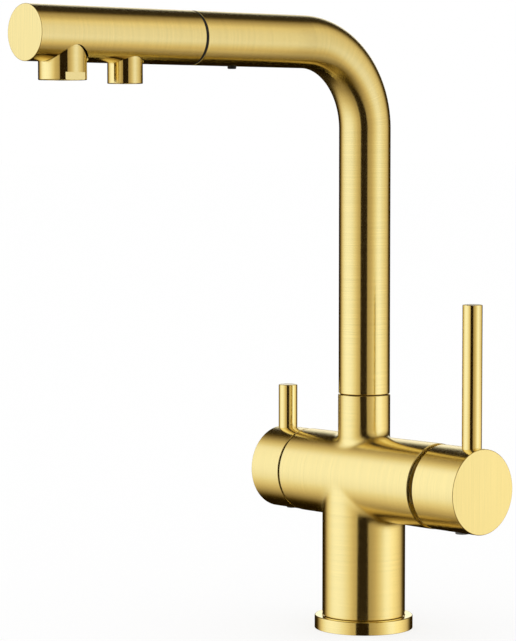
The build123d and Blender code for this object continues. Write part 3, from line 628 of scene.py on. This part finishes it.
def soft_fillets(g):
    """Normal that rounds the cast body where its three arms meet, away from their ends."""
    (x, _, z), _ = places(g)
    aside = g.span(g.calc("ABSOLUTE", x), *FILLET_ASIDE, smooth=True)
    above = g.span(z, *FILLET_ABOVE, smooth=True)
    under = g.span(z, *FILLET_UNDER, smooth=True)
    share = g.calc("MULTIPLY", aside, g.calc("MULTIPLY", above, under))
    radius = g.calc("MULTIPLY", share, FILLET_RADIUS)
    bevel = g.add("ShaderNodeBevel", {"Radius": radius}, samples=8)
    return bevel.outputs[0]


def brushed_metal(
    name, colour, roughness, spread, contrast, relief, grain_pull, brush, rounding=None
):
    """Metal with fine brushing lines in its colour, roughness and relief.

    Grain_pull is how far reflections are drawn out across the lines."""
    material, g = new_material(name)
    lines, grain = brush(g)
    tone = g.mix(
        g.span(lines, *LINE_SPAN),
        shade(colour, 1 - contrast),
        shade(colour, 1 + contrast),
    )
    rough = g.span(lines, *LINE_SPAN, roughness - spread, roughness + spread)
    bump = g.add(
        "ShaderNodeBump", {"Strength": relief, "Distance": LINE_DEPTH, "Height": lines}
    )
    if rounding:
        g.feed(bump.inputs["Normal"], rounding(g))
    shader = g.add(
        "ShaderNodeBsdfPrincipled",
        {
            "Base Color": tone,
            "Metallic": 1.0,
            "Roughness": rough,
            "Normal": bump.outputs[0],
            "Anisotropic": grain_pull,
            "Tangent": grain,
        },
    )
    g.add("ShaderNodeOutputMaterial", {"Surface": shader.outputs[0]})
    return material


def moulded(name, colour, roughness, grain=0.06, specular=0.5):
    """Moulded plastic, rubber or ceramic with a fine grain."""
    material, g = new_material(name)
    place = g.add("ShaderNodeTexCoord").outputs["Object"]
    grain_noise = g.noise(place, GRAIN_SCALE, 3.0)
    broad = g.noise(place, BROAD_SCALE)
    tone = g.mix(broad, shade(colour, 0.9), shade(colour, 1.08))
    rough = g.span(grain_noise, *LINE_SPAN, roughness * 0.85, min(1, roughness * 1.15))
    bump = g.add(
        "ShaderNodeBump", {"Strength": grain, "Distance": GRAIN_DEPTH, "Height": grain_noise}
    ).outputs[0]
    shader = g.add(
        "ShaderNodeBsdfPrincipled",
        {
            "Base Color": tone,
            "Roughness": rough,
            "Normal": bump,
            "Specular IOR Level": specular,
        },
    )
    g.add("ShaderNodeOutputMaterial", {"Surface": shader.outputs[0]})
    return material


SATIN = dict(
    colour=GOLD, roughness=0.20, spread=0.03, contrast=0.07, relief=0.07, grain_pull=0.87
)
FAINT_SATIN = {**SATIN, "contrast": 0.05}
POLISH = dict(
    colour=GOLD, roughness=0.12, spread=0.02, contrast=0.03, relief=0.1, grain_pull=0.7
)
MACHINED = dict(
    colour=(0.80, 0.62, 0.30),
    roughness=0.34,
    spread=0.06,
    contrast=0.08,
    relief=0.3,
    grain_pull=0.5,
)
STEEL = dict(
    colour=(0.62, 0.62, 0.60),
    roughness=0.34,
    spread=0.06,
    contrast=0.08,
    relief=0.3,
    grain_pull=0.5,
)

MATERIALS = {
    "brushed_gold": brushed_metal("brushed_gold", brush=brush_of_turned, **SATIN),
    "polished_gold": brushed_metal("polished_gold", brush=brush_of_turned, **POLISH),
    "raw_brass": brushed_metal("raw_brass", brush=brush_of_turned, **MACHINED),
    "steel": brushed_metal("steel", brush=brush_of_turned, **STEEL),
    "brushed_gold_cast": brushed_metal(
        "brushed_gold_cast", brush=brush_of_cast, rounding=soft_fillets, **FAINT_SATIN
    ),
    "brushed_gold_bar": brushed_metal(
        "brushed_gold_bar", brush=brush_along(0), **FAINT_SATIN
    ),
    "raw_brass_upright": brushed_metal(
        "raw_brass_upright", brush=brush_along(2), **MACHINED
    ),
    "raw_brass_bar": brushed_metal(
        "raw_brass_bar", brush=brush_along(0), **MACHINED
    ),
    "raw_brass_arm": brushed_metal(
        "raw_brass_arm", brush=brush_along(1), **MACHINED
    ),
    "steel_upright": brushed_metal("steel_upright", brush=brush_along(2), **STEEL),
    "black_plastic": moulded("black_plastic", (0.008, 0.008, 0.008), 0.5, specular=0.25),
    "white_plastic": moulded("white_plastic", (0.82, 0.82, 0.79), 0.38, grain=0.04),
    "grey_plastic": moulded("grey_plastic", (0.10, 0.10, 0.10), 0.4),
    "rubber": moulded("rubber", (0.02, 0.02, 0.02), 0.7, grain=0.12),
    "ceramic": moulded("ceramic", (0.88, 0.87, 0.84), 0.15, grain=0.02),
}

# CAD nodes that keep their own shape, and the material each gets
KEPT = {
    "tee_body": "brushed_gold_cast",
    "mixer_hub": "brushed_gold_bar",
    "filter_hub": "brushed_gold_bar",
    "base_seal": "rubber",
    "hose_manifold": "raw_brass_upright",
    "swivel_clip": "steel_upright",
    "swivel_glide_ring": "black_plastic",
    "cartridge_seal": "rubber",
    "cartridge_base": "grey_plastic",
    "cartridge_housing": "white_plastic",
    "cartridge_clamp_nut": "raw_brass_bar",
    "cartridge_fixed_disc": "ceramic",
    "filter_valve_seal": "rubber",
    "filter_fixed_disc": "ceramic",
    "filter_headwork": "raw_brass_bar",
    "spout_ferrule": "raw_brass_upright",
    "swivel_o_rings": "rubber",
    "head_core": "grey_plastic",
    "head_tail": "black_plastic",
    "aerator_screen": "white_plastic",
    "filter_straightener": "white_plastic",
    "hose_head_fitting": "raw_brass_arm",
    "check_valve": "white_plastic",
    "cartridge_carrier": "black_plastic",
    "cartridge_tilt_pin": "steel_upright",
    "cartridge_moving_disc": "ceramic",
    "cartridge_disc_driver": "white_plastic",
    "cartridge_stem": "raw_brass_bar",
    "mixer_set_screw": "steel_upright",
    "filter_set_screw": "steel_upright",
    "filter_spindle": "raw_brass_bar",
    "filter_turning_disc": "ceramic",
    "filter_spindle_o_rings": "rubber",
    "filter_spindle_clip": "steel_upright",
    "hose_tail_fitting": "raw_brass_upright",
}


def smooth(thing, angle=CREASE):
    """Smooth shading with sharp edges where faces meet at more than the angle."""
    for face in thing.data.polygons:
        face.use_smooth = True
    thing.data.set_sharp_from_angle(angle=radians(angle))
    weighted = thing.modifiers.new("weighted", "WEIGHTED_NORMAL")
    weighted.keep_sharp = True


def dress_kept_nodes():
    for node, material in KEPT.items():
        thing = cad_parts[node]
        thing.data.materials.clear()
        thing.data.materials.append(MATERIALS[material])
        smooth(thing)


# ---------------------------------------------------------------- routes
X, Y, Z = Vector((1, 0, 0)), Vector((0, 1, 0)), Vector((0, 0, 1))


def straight(origin, axis, aside):
    """Route along a straight axis: centre and the two directions across it."""
    start = Vector(origin)
    across = axis.cross(aside)
    return lambda along: (start + axis * along, aside, across)


def up_and_over(along):
    """Route up the column's axis, round the bend and along the arm."""
    knee = ARM_HEIGHT - BEND_RADIUS
    turn = (along - knee) / BEND_RADIUS
    if turn <= 0:
        return Vector((0, 0, along)), X, Y
    if turn >= pi / 2:
        rest = along - knee - BEND_RADIUS * pi / 2
        return Vector((0, -BEND_RADIUS - rest, ARM_HEIGHT)), X, Z
    centre = Vector((0, -BEND_RADIUS * (1 - cos(turn)), knee + BEND_RADIUS * sin(turn)))
    return centre, X, Vector((0, cos(turn), sin(turn)))


def route_length(reach):
    """Length along up_and_over at this reach in front of the column."""
    return ARM_HEIGHT - BEND_RADIUS + BEND_RADIUS * pi / 2 + reach - BEND_RADIUS


column = straight((0, 0, 0), Z, X)
arm = straight((0, 0, ARM_HEIGHT), -Y, X)
main_outlet = straight((0, -MAIN_REACH, ARM_HEIGHT), -Z, X)
filter_outlet = straight((0, -FILTER_REACH, ARM_HEIGHT), -Z, X)
snap = straight((0, -SNAP_REACH, ARM_HEIGHT), -Z, X)


def over_bar(x):
    """Route straight up from the crossbar's axis."""
    return straight((x, 0, BAR_HEIGHT), Z, X)


# ---------------------------------------------------------------- mesh building
def around(place, radius, turn):
    """Point in metres round a place of a route."""
    centre, u, v = place
    return (centre + radius * (cos(turn) * u + sin(turn) * v)) * MM


def brushing_layers(shape):
    """Layers of a bmesh for brushing coordinates and grain, made where they are missing."""
    brushes, grains = shape.loops.layers.float_vector, shape.loops.layers.uv
    brush = brushes.get("brush") or brushes.new("brush")
    grain = grains.get("grain") or grains.new("grain")
    return brush, grain


def rounded(corners, closed):
    """Profile points (radius, along) of corners (radius, along, rounding)."""
    points = []
    for i, (radius, along, rounding) in enumerate(corners):
        here = Vector((radius, along))
        if not rounding:
            points.append(here)
            continue
        back = (Vector(corners[i - 1][:2]) - here).normalized()
        ahead = (Vector(corners[(i + 1) % len(corners)][:2]) - here).normalized()
        half = back.angle(ahead) / 2
        centre = here + (back + ahead).normalized() * (rounding / sin(half))
        first = here + back * (rounding / tan(half)) - centre
        last = here + ahead * (rounding / tan(half)) - centre
        sweep = first.angle(last)
        for k in range(ROUNDING_STEPS + 1):
            share = k / ROUNDING_STEPS
            spoke = first * sin((1 - share) * sweep) + last * sin(share * sweep)
            points.append(centre + spoke / sin(sweep))
    if closed:
        points.append(points[0].copy())
    return points


def divided(points, step):
    """The same profile with no run longer than the step."""
    if not step:
        return points
    out = [points[0]]
    for a, b in zip(points, points[1:]):
        count = max(1, int((b - a).length / step + 0.999))
        out += [a.lerp(b, k / count) for k in range(1, count + 1)]
    return out


ON_AXIS = 1e-6  # a smaller radius makes one point of a ring
FLAT_SLOPE = 0.05  # a flatter run is brushed as an end face


def turned(mesh, corners, route, closed=True, step=0.0, segments=SEGMENTS):
    """Adds a profile turned about a route to a bmesh, with its brushing coordinates."""
    profile = divided(rounded(corners, closed), step)
    brush, grain = brushing_layers(mesh)
    turns = [2 * pi * k / segments for k in range(segments + 1)]
    rings, run = [], 0.0
    runs = []
    for i, (radius, along) in enumerate(profile):
        run += (profile[i] - profile[i - 1]).length if i else 0
        runs.append(run)
        here = route(along)
        if closed and i == len(profile) - 1:
            rings.append(rings[0])
        elif radius < ON_AXIS:
            rings.append([mesh.verts.new(here[0] * MM)])
        else:
            rings.append([mesh.verts.new(around(here, radius, t)) for t in turns[:-1]])
    for i in range(len(rings) - 1):
        step_out, step_along = profile[i + 1] - profile[i]
        flat = abs(step_along) < FLAT_SLOPE * abs(step_out)
        for k in range(segments):
            corners_of_face = []
            for ring, turn in ((i, k), (i, k + 1), (i + 1, k + 1), (i + 1, k)):
                vertex = rings[ring][turn % segments if len(rings[ring]) > 1 else 0]
                if corners_of_face and vertex is corners_of_face[-1][0]:
                    continue
                radius = profile[ring][0]
                a, b = radius * cos(turns[turn]), radius * sin(turns[turn])
                if flat:
                    place, spread = (a, b, 0), (b, a)
                else:
                    place, spread = (runs[ring], a, b), (runs[ring], radius * turns[turn])
                corners_of_face.append((vertex, Vector(place) * MM, Vector(spread) * MM))
            if corners_of_face[0][0] is corners_of_face[-1][0]:
                corners_of_face.pop()
            face = mesh.faces.new([vertex for vertex, _, _ in corners_of_face])
            for loop, (_, place, spread) in zip(face.loops, corners_of_face):
                loop[brush] = place
                loop[grain].uv = spread


def finished(name, shape, material, body, *nodes, angle=CREASE):
    """Makes a bmesh a piece of the object that rides on a body and stands for CAD nodes."""
    bmesh.ops.recalc_face_normals(shape, faces=shape.faces)
    data = bpy.data.meshes.new(name)
    shape.to_mesh(data)
    shape.free()
    thing = bpy.data.objects.new(name, data)
    bpy.context.scene.collection.objects.link(thing)
    data.materials.append(MATERIALS[material])
    smooth(thing, angle)
    if nodes:
        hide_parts(*nodes)
    if body:
        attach(thing, body)
    return thing


def lathe(name, node, material, body, corners, route, closed=True, **options):
    shape = bmesh.new()
    turned(shape, corners, route, closed, **options)
    return finished(name, shape, material, body, node)


def cut(thing, *cutters):
    """Takes closed meshes away from a piece for good."""
    for shape in cutters:
        bmesh.ops.recalc_face_normals(shape, faces=shape.faces)
        data = bpy.data.meshes.new("cutter")
        shape.to_mesh(data)
        shape.free()
        tool = bpy.data.objects.new("cutter", data)
        bpy.context.scene.collection.objects.link(tool)
        hole = thing.modifiers.new("hole", "BOOLEAN")
        hole.operation = "DIFFERENCE"
        hole.solver = "EXACT"
        hole.object = tool
        weighted = thing.modifiers["weighted"]
        thing.modifiers.remove(weighted)
        bpy.context.view_layer.update()
        evaluated = thing.evaluated_get(bpy.context.evaluated_depsgraph_get())
        made = bpy.data.meshes.new_from_object(evaluated)
        thing.modifiers.clear()
        old, thing.data = thing.data, made
        made.name = old.name
        bpy.data.objects.remove(tool)
        smooth(thing)


def drill(radius, low, high, route, segments=96):
    """Closed round cutter along a route."""
    shape = bmesh.new()
    turned(
        shape,
        [(0, low, 0), (radius, low, 0), (radius, high, 0), (0, high, 0)],
        route,
        closed=False,
        segments=segments,
    )
    return shape


def box(low, high):
    """Closed box from corner to corner, in millimetres."""
    shape = bmesh.new()
    corners = [
        shape.verts.new(Vector((x, y, z)) * MM)
        for x in (low[0], high[0])
        for y in (low[1], high[1])
        for z in (low[2], high[2])
    ]
    for quad in ((0, 1, 3, 2), (4, 6, 7, 5), (0, 4, 5, 1), (2, 3, 7, 6), (0, 2, 6, 4), (1, 5, 7, 3)):
        shape.faces.new([corners[i] for i in quad])
    return shape


# ---------------------------------------------------------------- pieces
def base():
    lathe(
        "base_ring_turned",
        "base_ring",
        "polished_gold",
        "body",
        [
            (RING_RADIUS, 0, 0.25),
            (RING_RADIUS, RING_HEIGHT, 0.8),
            (FOOT_RADIUS, RING_HEIGHT, 0.12),
            (FOOT_RADIUS, FOOT_HEIGHT, 0),
            (SHANK_HOLE, FOOT_HEIGHT, 0),
            (SHANK_HOLE, SEAL_HEIGHT, 0),
            (SEAL_RADIUS, SEAL_HEIGHT, 0),
            (SEAL_RADIUS, 0, 0.1),
        ],
        column,
    )


def fixing_set():
    lathe(
        "worktop_gasket_moulded",
        "worktop_gasket",
        "rubber",
        "body",
        [
            (SHANK_HOLE, WASHER_TOP, 0.2),
            (GASKET_RADIUS, WASHER_TOP, 0.7),
            (GASKET_RADIUS, GASKET_TOP, 0.7),
            (SHANK_HOLE, GASKET_TOP, 0.2),
        ],
        column,
    )
    lathe(
        "clamp_washer_stamped",
        "clamp_washer",
        "steel",
        "body",
        [
            (SHANK_HOLE, NUT_TOP, 0.1),
            (WASHER_RADIUS, NUT_TOP, 0.35),
            (WASHER_RADIUS, WASHER_TOP, 0.2),
            (SHANK_HOLE, WASHER_TOP, 0.1),
        ],
        column,
    )
    threaded_shank()
    lock_nut()


THREAD_PITCH = 1.5
THREAD_DEPTH = 0.8
THREAD_LEAD = 1.2  # over which it fades at both ends
THREAD_LEVELS = 6  # rings of points to a turn
THREAD_SEGMENTS = 96


def mark_upright(face, brush, grain):
    """Brushing round the column's axis for a face that no profile made."""
    for loop in face.loops:
        place = loop.vert.co
        loop[brush] = (place.z, place.x, place.y)
        loop[grain].uv = (place.z, place.x + place.y)


def join_rings(shape, rings, brush, grain):
    """Faces between each ring of points and the next, and from the last to the first."""
    for i, ring in enumerate(rings):
        following = rings[(i + 1) % len(rings)]
        for k in range(len(ring)):
            after = (k + 1) % len(ring)
            face = shape.faces.new([ring[k], ring[after], following[after], following[k]])
            mark_upright(face, brush, grain)


def threaded_shank():
    """Shank with a helical thread outside and a plain bore."""
    shape = bmesh.new()
    brush, grain = brushing_layers(shape)
    foot, top = SHANK_FOOT, SHANK_TOP
    turns = [2 * pi * k / THREAD_SEGMENTS for k in range(THREAD_SEGMENTS)]
    steps = int((top - foot) / THREAD_PITCH * THREAD_LEVELS)
    levels = [foot + k * THREAD_PITCH / THREAD_LEVELS for k in range(steps)]
    levels.append(top)

    def crest(turn, z):
        wave = (z / THREAD_PITCH - turn / (2 * pi)) % 1.0
        height = 1 - 2 * abs(wave - 0.5)
        fade = max(0.0, min(1.0, (z - foot) / THREAD_LEAD, (top - z) / THREAD_LEAD))
        return SHANK_RADIUS - THREAD_DEPTH * (1 - height * fade)

    outlines = [(z, [crest(turn, z) for turn in turns]) for z in levels]
    outlines += [(z, [SHANK_BORE] * THREAD_SEGMENTS) for z in (top, foot)]
    rings = [
        [shape.verts.new(around(column(z), radius, turn)) for radius, turn in zip(radii, turns)]
        for z, radii in outlines
    ]
    join_rings(shape, rings, brush, grain)
    finished("mounting_shank_threaded", shape, "raw_brass", "body", "mounting_shank", angle=50)


NUT_LEAD = 0.9  # chamfer of the nut's bore
NUT_CORNER = 1.6  # height of the chamfer on its corners
NUT_FACE_INSET = 0.2  # of the round face within the flats


def lock_nut():
    """Hexagonal nut with chamfered corners."""
    shape = bmesh.new()
    brush, grain = brushing_layers(shape)
    across_corners = NUT_FLATS / 2 / cos(pi / 6)
    face_radius = NUT_FLATS / 2 - NUT_FACE_INSET
    # along, limit of the radius, whether it is in the bore
    levels = [
        (NUT_FOOT + NUT_LEAD, SHANK_HOLE, True),
        (NUT_FOOT, SHANK_HOLE + NUT_LEAD, True),
        (NUT_FOOT, face_radius, False),
        (NUT_FOOT + NUT_CORNER, across_corners, False),
        (NUT_TOP - NUT_CORNER, across_corners, False),
        (NUT_TOP, face_radius, False),
        (NUT_TOP, SHANK_HOLE + NUT_LEAD, True),
        (NUT_TOP - NUT_LEAD, SHANK_HOLE, True),
    ]
    rings = []
    for along, limit, in_bore in levels:
        ring = []
        for k in range(SEGMENTS):
            turn = 2 * pi * k / SEGMENTS
            facet = (turn + pi / 6) % (pi / 3) - pi / 6
            radius = limit if in_bore else min(NUT_FLATS / 2 / cos(facet), limit)
            ring.append(shape.verts.new(around(column(along), radius, turn)))
        rings.append(ring)
    join_rings(shape, rings, brush, grain)
    finished("lock_nut_chamfered", shape, "raw_brass", "body", "lock_nut")


TUBE_STEP = 1.5  # longest face along the tubes
CUT_DEPTH = 20  # how far the cutters of the tubes' holes reach, past their wall
CUT_PAST = 2  # how far outside the collar the cutters of its wrench flats end


def spout():
    end = route_length(DOCK_REACH)
    tube = lathe(
        "spout_tube_bent",
        "spout_tube",
        "brushed_gold",
        None,
        [
            (TUBE_BORE, SPOUT_FOOT, 0.1),
            (TUBE_RADIUS - EDGE, SPOUT_FOOT, 0),
            (TUBE_RADIUS, SPOUT_FOOT + EDGE, 0),
            (TUBE_RADIUS, end, 0.2),
            (TUBE_BORE, end, 0.1),
        ],
        up_and_over,
        step=TUBE_STEP,
    )
    cut(tube, drill(SNAP_HOLE, 0, CUT_DEPTH, snap, 48))
    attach(tube, "spout")
    shape = bmesh.new()
    turned(
        shape,
        [
            (DOCK_BORE, DOCK_BACK, 0.2),
            (DOCK_RADIUS, DOCK_BACK, 0.4),
            (DOCK_RADIUS, DOCK_REACH, 0),
            (DOCK_FLANGE, DOCK_REACH, 0.1),
            (DOCK_FLANGE, DOCK_FRONT, 0.15),
            (DOCK_BORE, DOCK_FRONT, 0.2),
        ],
        arm,
    )
    turned(
        shape,
        [
            (0, SNAP_TIP, 0),
            (SNAP_RADIUS, SNAP_TIP, 0.5),
            (SNAP_RADIUS, SNAP_ROOT, 0.1),
            (0, SNAP_ROOT, 0),
        ],
        snap,
        closed=False,
        segments=64,
    )
    finished("dock_bush_moulded", shape, "black_plastic", "spout", "dock_bush")


def head():
    shell = lathe(
        "head_shell_drawn",
        "head_shell",
        "brushed_gold",
        None,
        [
            (0, HEAD_REACH, 0),
            (TUBE_RADIUS, HEAD_REACH, 0.4),
            (TUBE_RADIUS, SHELL_BACK + EDGE, 0),
            (TUBE_RADIUS - EDGE, SHELL_BACK, 0),
            (SHELL_BORE, SHELL_BACK, 0.1),
            (SHELL_BORE, SHELL_END, 0.3),
            (0, SHELL_END, 0),
        ],
        arm,
        closed=False,
        step=TUBE_STEP,
    )
    cut(
        shell,
        drill(MAIN_HOLE, MAIN_SEAT, CUT_DEPTH, main_outlet),
        drill(FILTER_HOLE, FILTER_SEAT, CUT_DEPTH, filter_outlet),
    )
    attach(shell, "head")
    collar = lathe(
        "outlet_main_turned",
        "outlet_main",
        "polished_gold",
        None,
        [
            (MAIN_BORE, MAIN_SEAT, 0.2),
            (MAIN_RADIUS, MAIN_SEAT, 0.3),
            (MAIN_RADIUS, MAIN_DROP, 0.35),
            (AERATOR_RECESS, MAIN_DROP, 0.15),
            (AERATOR_RECESS, AERATOR_DROP, 0),
            (MAIN_BORE, AERATOR_DROP, 0),
        ],
        main_outlet,
        step=TUBE_STEP,
    )
    past = MAIN_RADIUS + CUT_PAST
    top, bottom = ARM_HEIGHT - FLAT_DROP, ARM_HEIGHT - MAIN_DROP - CUT_PAST
    front, back = -MAIN_REACH - past, -MAIN_REACH + past
    cut(
        collar,
        box((FLAT_ASIDE, front, bottom), (past, back, top)),
        box((-past, front, bottom), (-FLAT_ASIDE, back, top)),
    )
    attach(collar, "head")
    lathe(
        "aerator_housing_moulded",
        "aerator_housing",
        "white_plastic",
        "head",
        [
            (HOUSING_BORE, AERATOR_DROP, 0.1),
            (HOUSING_RADIUS, AERATOR_DROP, 0.1),
            (HOUSING_RADIUS, HOUSING_DROP, 0.2),
            (HOUSING_BORE, HOUSING_DROP, 0.2),
        ],
        main_outlet,
    )
    lathe(
        "outlet_filter_turned",
        "outlet_filter",
        "polished_gold",
        "head",
        [
            (FILTER_BORE, FILTER_SEAT, 0.2),
            (FILTER_RADIUS, FILTER_SEAT, 0.3),
            (FILTER_RADIUS, FILTER_DROP, 0.35),
            (FILTER_BORE, FILTER_DROP, 0.2),
        ],
        filter_outlet,
    )


def levers():
    for handle, x, top in (
        ("mixer", MIXER_LEVER_X, MIXER_LEVER_TOP),
        ("filter", FILTER_LEVER_X, FILTER_LEVER_TOP),
    ):
        lathe(
            f"{handle}_lever_turned",
            f"{handle}_lever",
            "polished_gold",
            f"{handle}_handle",
            [
                (0, top, 0),
                (LEVER_RADIUS, top, 0.5),
                (LEVER_RADIUS, LEVER_SEAT, 0.1),
                (STUD_RADIUS, LEVER_SEAT, 0),
                (STUD_RADIUS, STUD_FOOT, 0.3),
                (0, STUD_FOOT, 0),
            ],
            over_bar(x),
            closed=False,
        )


def screw_caps():
    """Caps over the set screws, under the hubs."""
    for handle, x, radius, proud in (
        ("mixer", MIXER_CAP_X, MIXER_CAP_RADIUS, MIXER_CAP_PROUD),
        ("filter", FILTER_CAP_X, FILTER_CAP_RADIUS, FILTER_CAP_PROUD),
    ):
        foot = -HUB_RADIUS - proud
        lathe(
            f"{handle}_screw_cap_moulded",
            f"{handle}_screw_cap",
            "grey_plastic",
            f"{handle}_handle",
            [(0, foot, 0), (radius, foot, 0.3), (radius, -CAP_ROOT, 0.1), (0, -CAP_ROOT, 0)],
            over_bar(x),
            closed=False,
            segments=64,
        )


# ---------------------------------------------------------------- pull-out hose
BRAID_PITCH = 5.0
BRAID_STRANDS = 10
BRAID_RELIEF = 0.22
BRAID_FIBRES = 2600  # to the metre
HOSE_SEGMENTS = 60
HOSE_STEP = 1.0  # between rings, when the hose is drawn out
HALVINGS = 24  # of a step, to find where the next ring stands
BLEND_START, BLEND_END = 50.0, 103.0  # reach of the stretch that is drawn out


def hose():
    """Braided hose whose weave is packed where it stretches when the head is drawn out."""
    shape = bmesh.new()
    brush = shape.loops.layers.float_vector.new("brush")
    start, end = HOSE_FOOT, route_length(HOSE_REACH)
    low, high = route_length(BLEND_START), route_length(BLEND_END)

    def drawn(along):
        """Where this place of the hose lies once the head is drawn out."""
        share = min(max((along - low) / (high - low), 0.0), 1.0)
        return along + HOSE_PULL * share * share * (3 - 2 * share)

    stops, along, target = [], start, start
    while along < end:
        stops.append(along)
        target += HOSE_STEP
        lower, upper = along, min(along + HOSE_STEP, end)
        for _ in range(HALVINGS):
            middle = (lower + upper) / 2
            lower, upper = (middle, upper) if drawn(middle) < target else (lower, middle)
        along = upper if drawn(end) > target else end
    stops.append(end)
    turns = [2 * pi * k / HOSE_SEGMENTS for k in range(HOSE_SEGMENTS)]
    rings = []
    for along in stops:
        here, pattern = up_and_over(along), drawn(along)
        twist = 2 * pi * pattern / BRAID_PITCH
        ring = []
        for turn in turns:
            left = sin(BRAID_STRANDS * turn + twist)
            right = sin(BRAID_STRANDS * turn - twist)
            weave = 0.5 + 0.5 * left * right
            radius = HOSE_RADIUS - BRAID_RELIEF * (1 - weave)
            ring.append((shape.verts.new(around(here, radius, turn)), pattern, turn))
        rings.append(ring)
    for ring, following in zip(rings, rings[1:]):
        for k in range(HOSE_SEGMENTS):
            after = (k + 1) % HOSE_SEGMENTS
            quad = [ring[k], ring[after], following[after], following[k]]
            face = shape.faces.new([vertex for vertex, _, _ in quad])
            for loop, (_, pattern, turn) in zip(face.loops, quad):
                place = Vector((pattern, HOSE_RADIUS * cos(turn), HOSE_RADIUS * sin(turn)))
                loop[brush] = place * MM
    for ring, along in ((rings[0], start), (rings[-1], end)):
        middle = shape.verts.new(up_and_over(along)[0] * MM)
        for k in range(HOSE_SEGMENTS):
            shape.faces.new([middle, ring[k][0], ring[(k + 1) % HOSE_SEGMENTS][0]])
    piece = finished("pull_out_hose_braided", shape, "braid", None, "pull_out_hose", angle=60)
    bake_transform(piece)


def braid_material():
    material, g = new_material("braid")
    coordinates = g.add("ShaderNodeAttribute", attribute_name="brush").outputs["Vector"]
    fibres = g.noise(g.vector("MULTIPLY", coordinates, (BRAID_FIBRES,) * 3), detail=3.0)
    tone = g.mix(fibres, (0.16, 0.16, 0.17, 1), (0.36, 0.36, 0.38, 1))
    bump = g.add(
        "ShaderNodeBump", {"Strength": 0.5, "Distance": GRAIN_DEPTH, "Height": fibres}
    ).outputs[0]
    shader = g.add(
        "ShaderNodeBsdfPrincipled",
        {"Base Color": tone, "Roughness": 0.55, "Normal": bump, "Sheen Weight": 0.3},
    )
    g.add("ShaderNodeOutputMaterial", {"Surface": shader.outputs[0]})
    return material


MATERIALS["braid"] = braid_material()

add_camera()
studio()
add_panel("panel_front", distance=0.655, azimuths=(-20, 10), elevations=(-60, 60), colour=DARK)
add_panel("panel_right", distance=1.5, azimuths=(10, 150), elevations=(-60, 60))
add_fill()
add_scrim()
add_gauze()
add_floor()
dress_kept_nodes()
base()
fixing_set()
spout()
head()
levers()
screw_caps()
hose()

bpy.context.scene.view_settings.view_transform = "Standard"
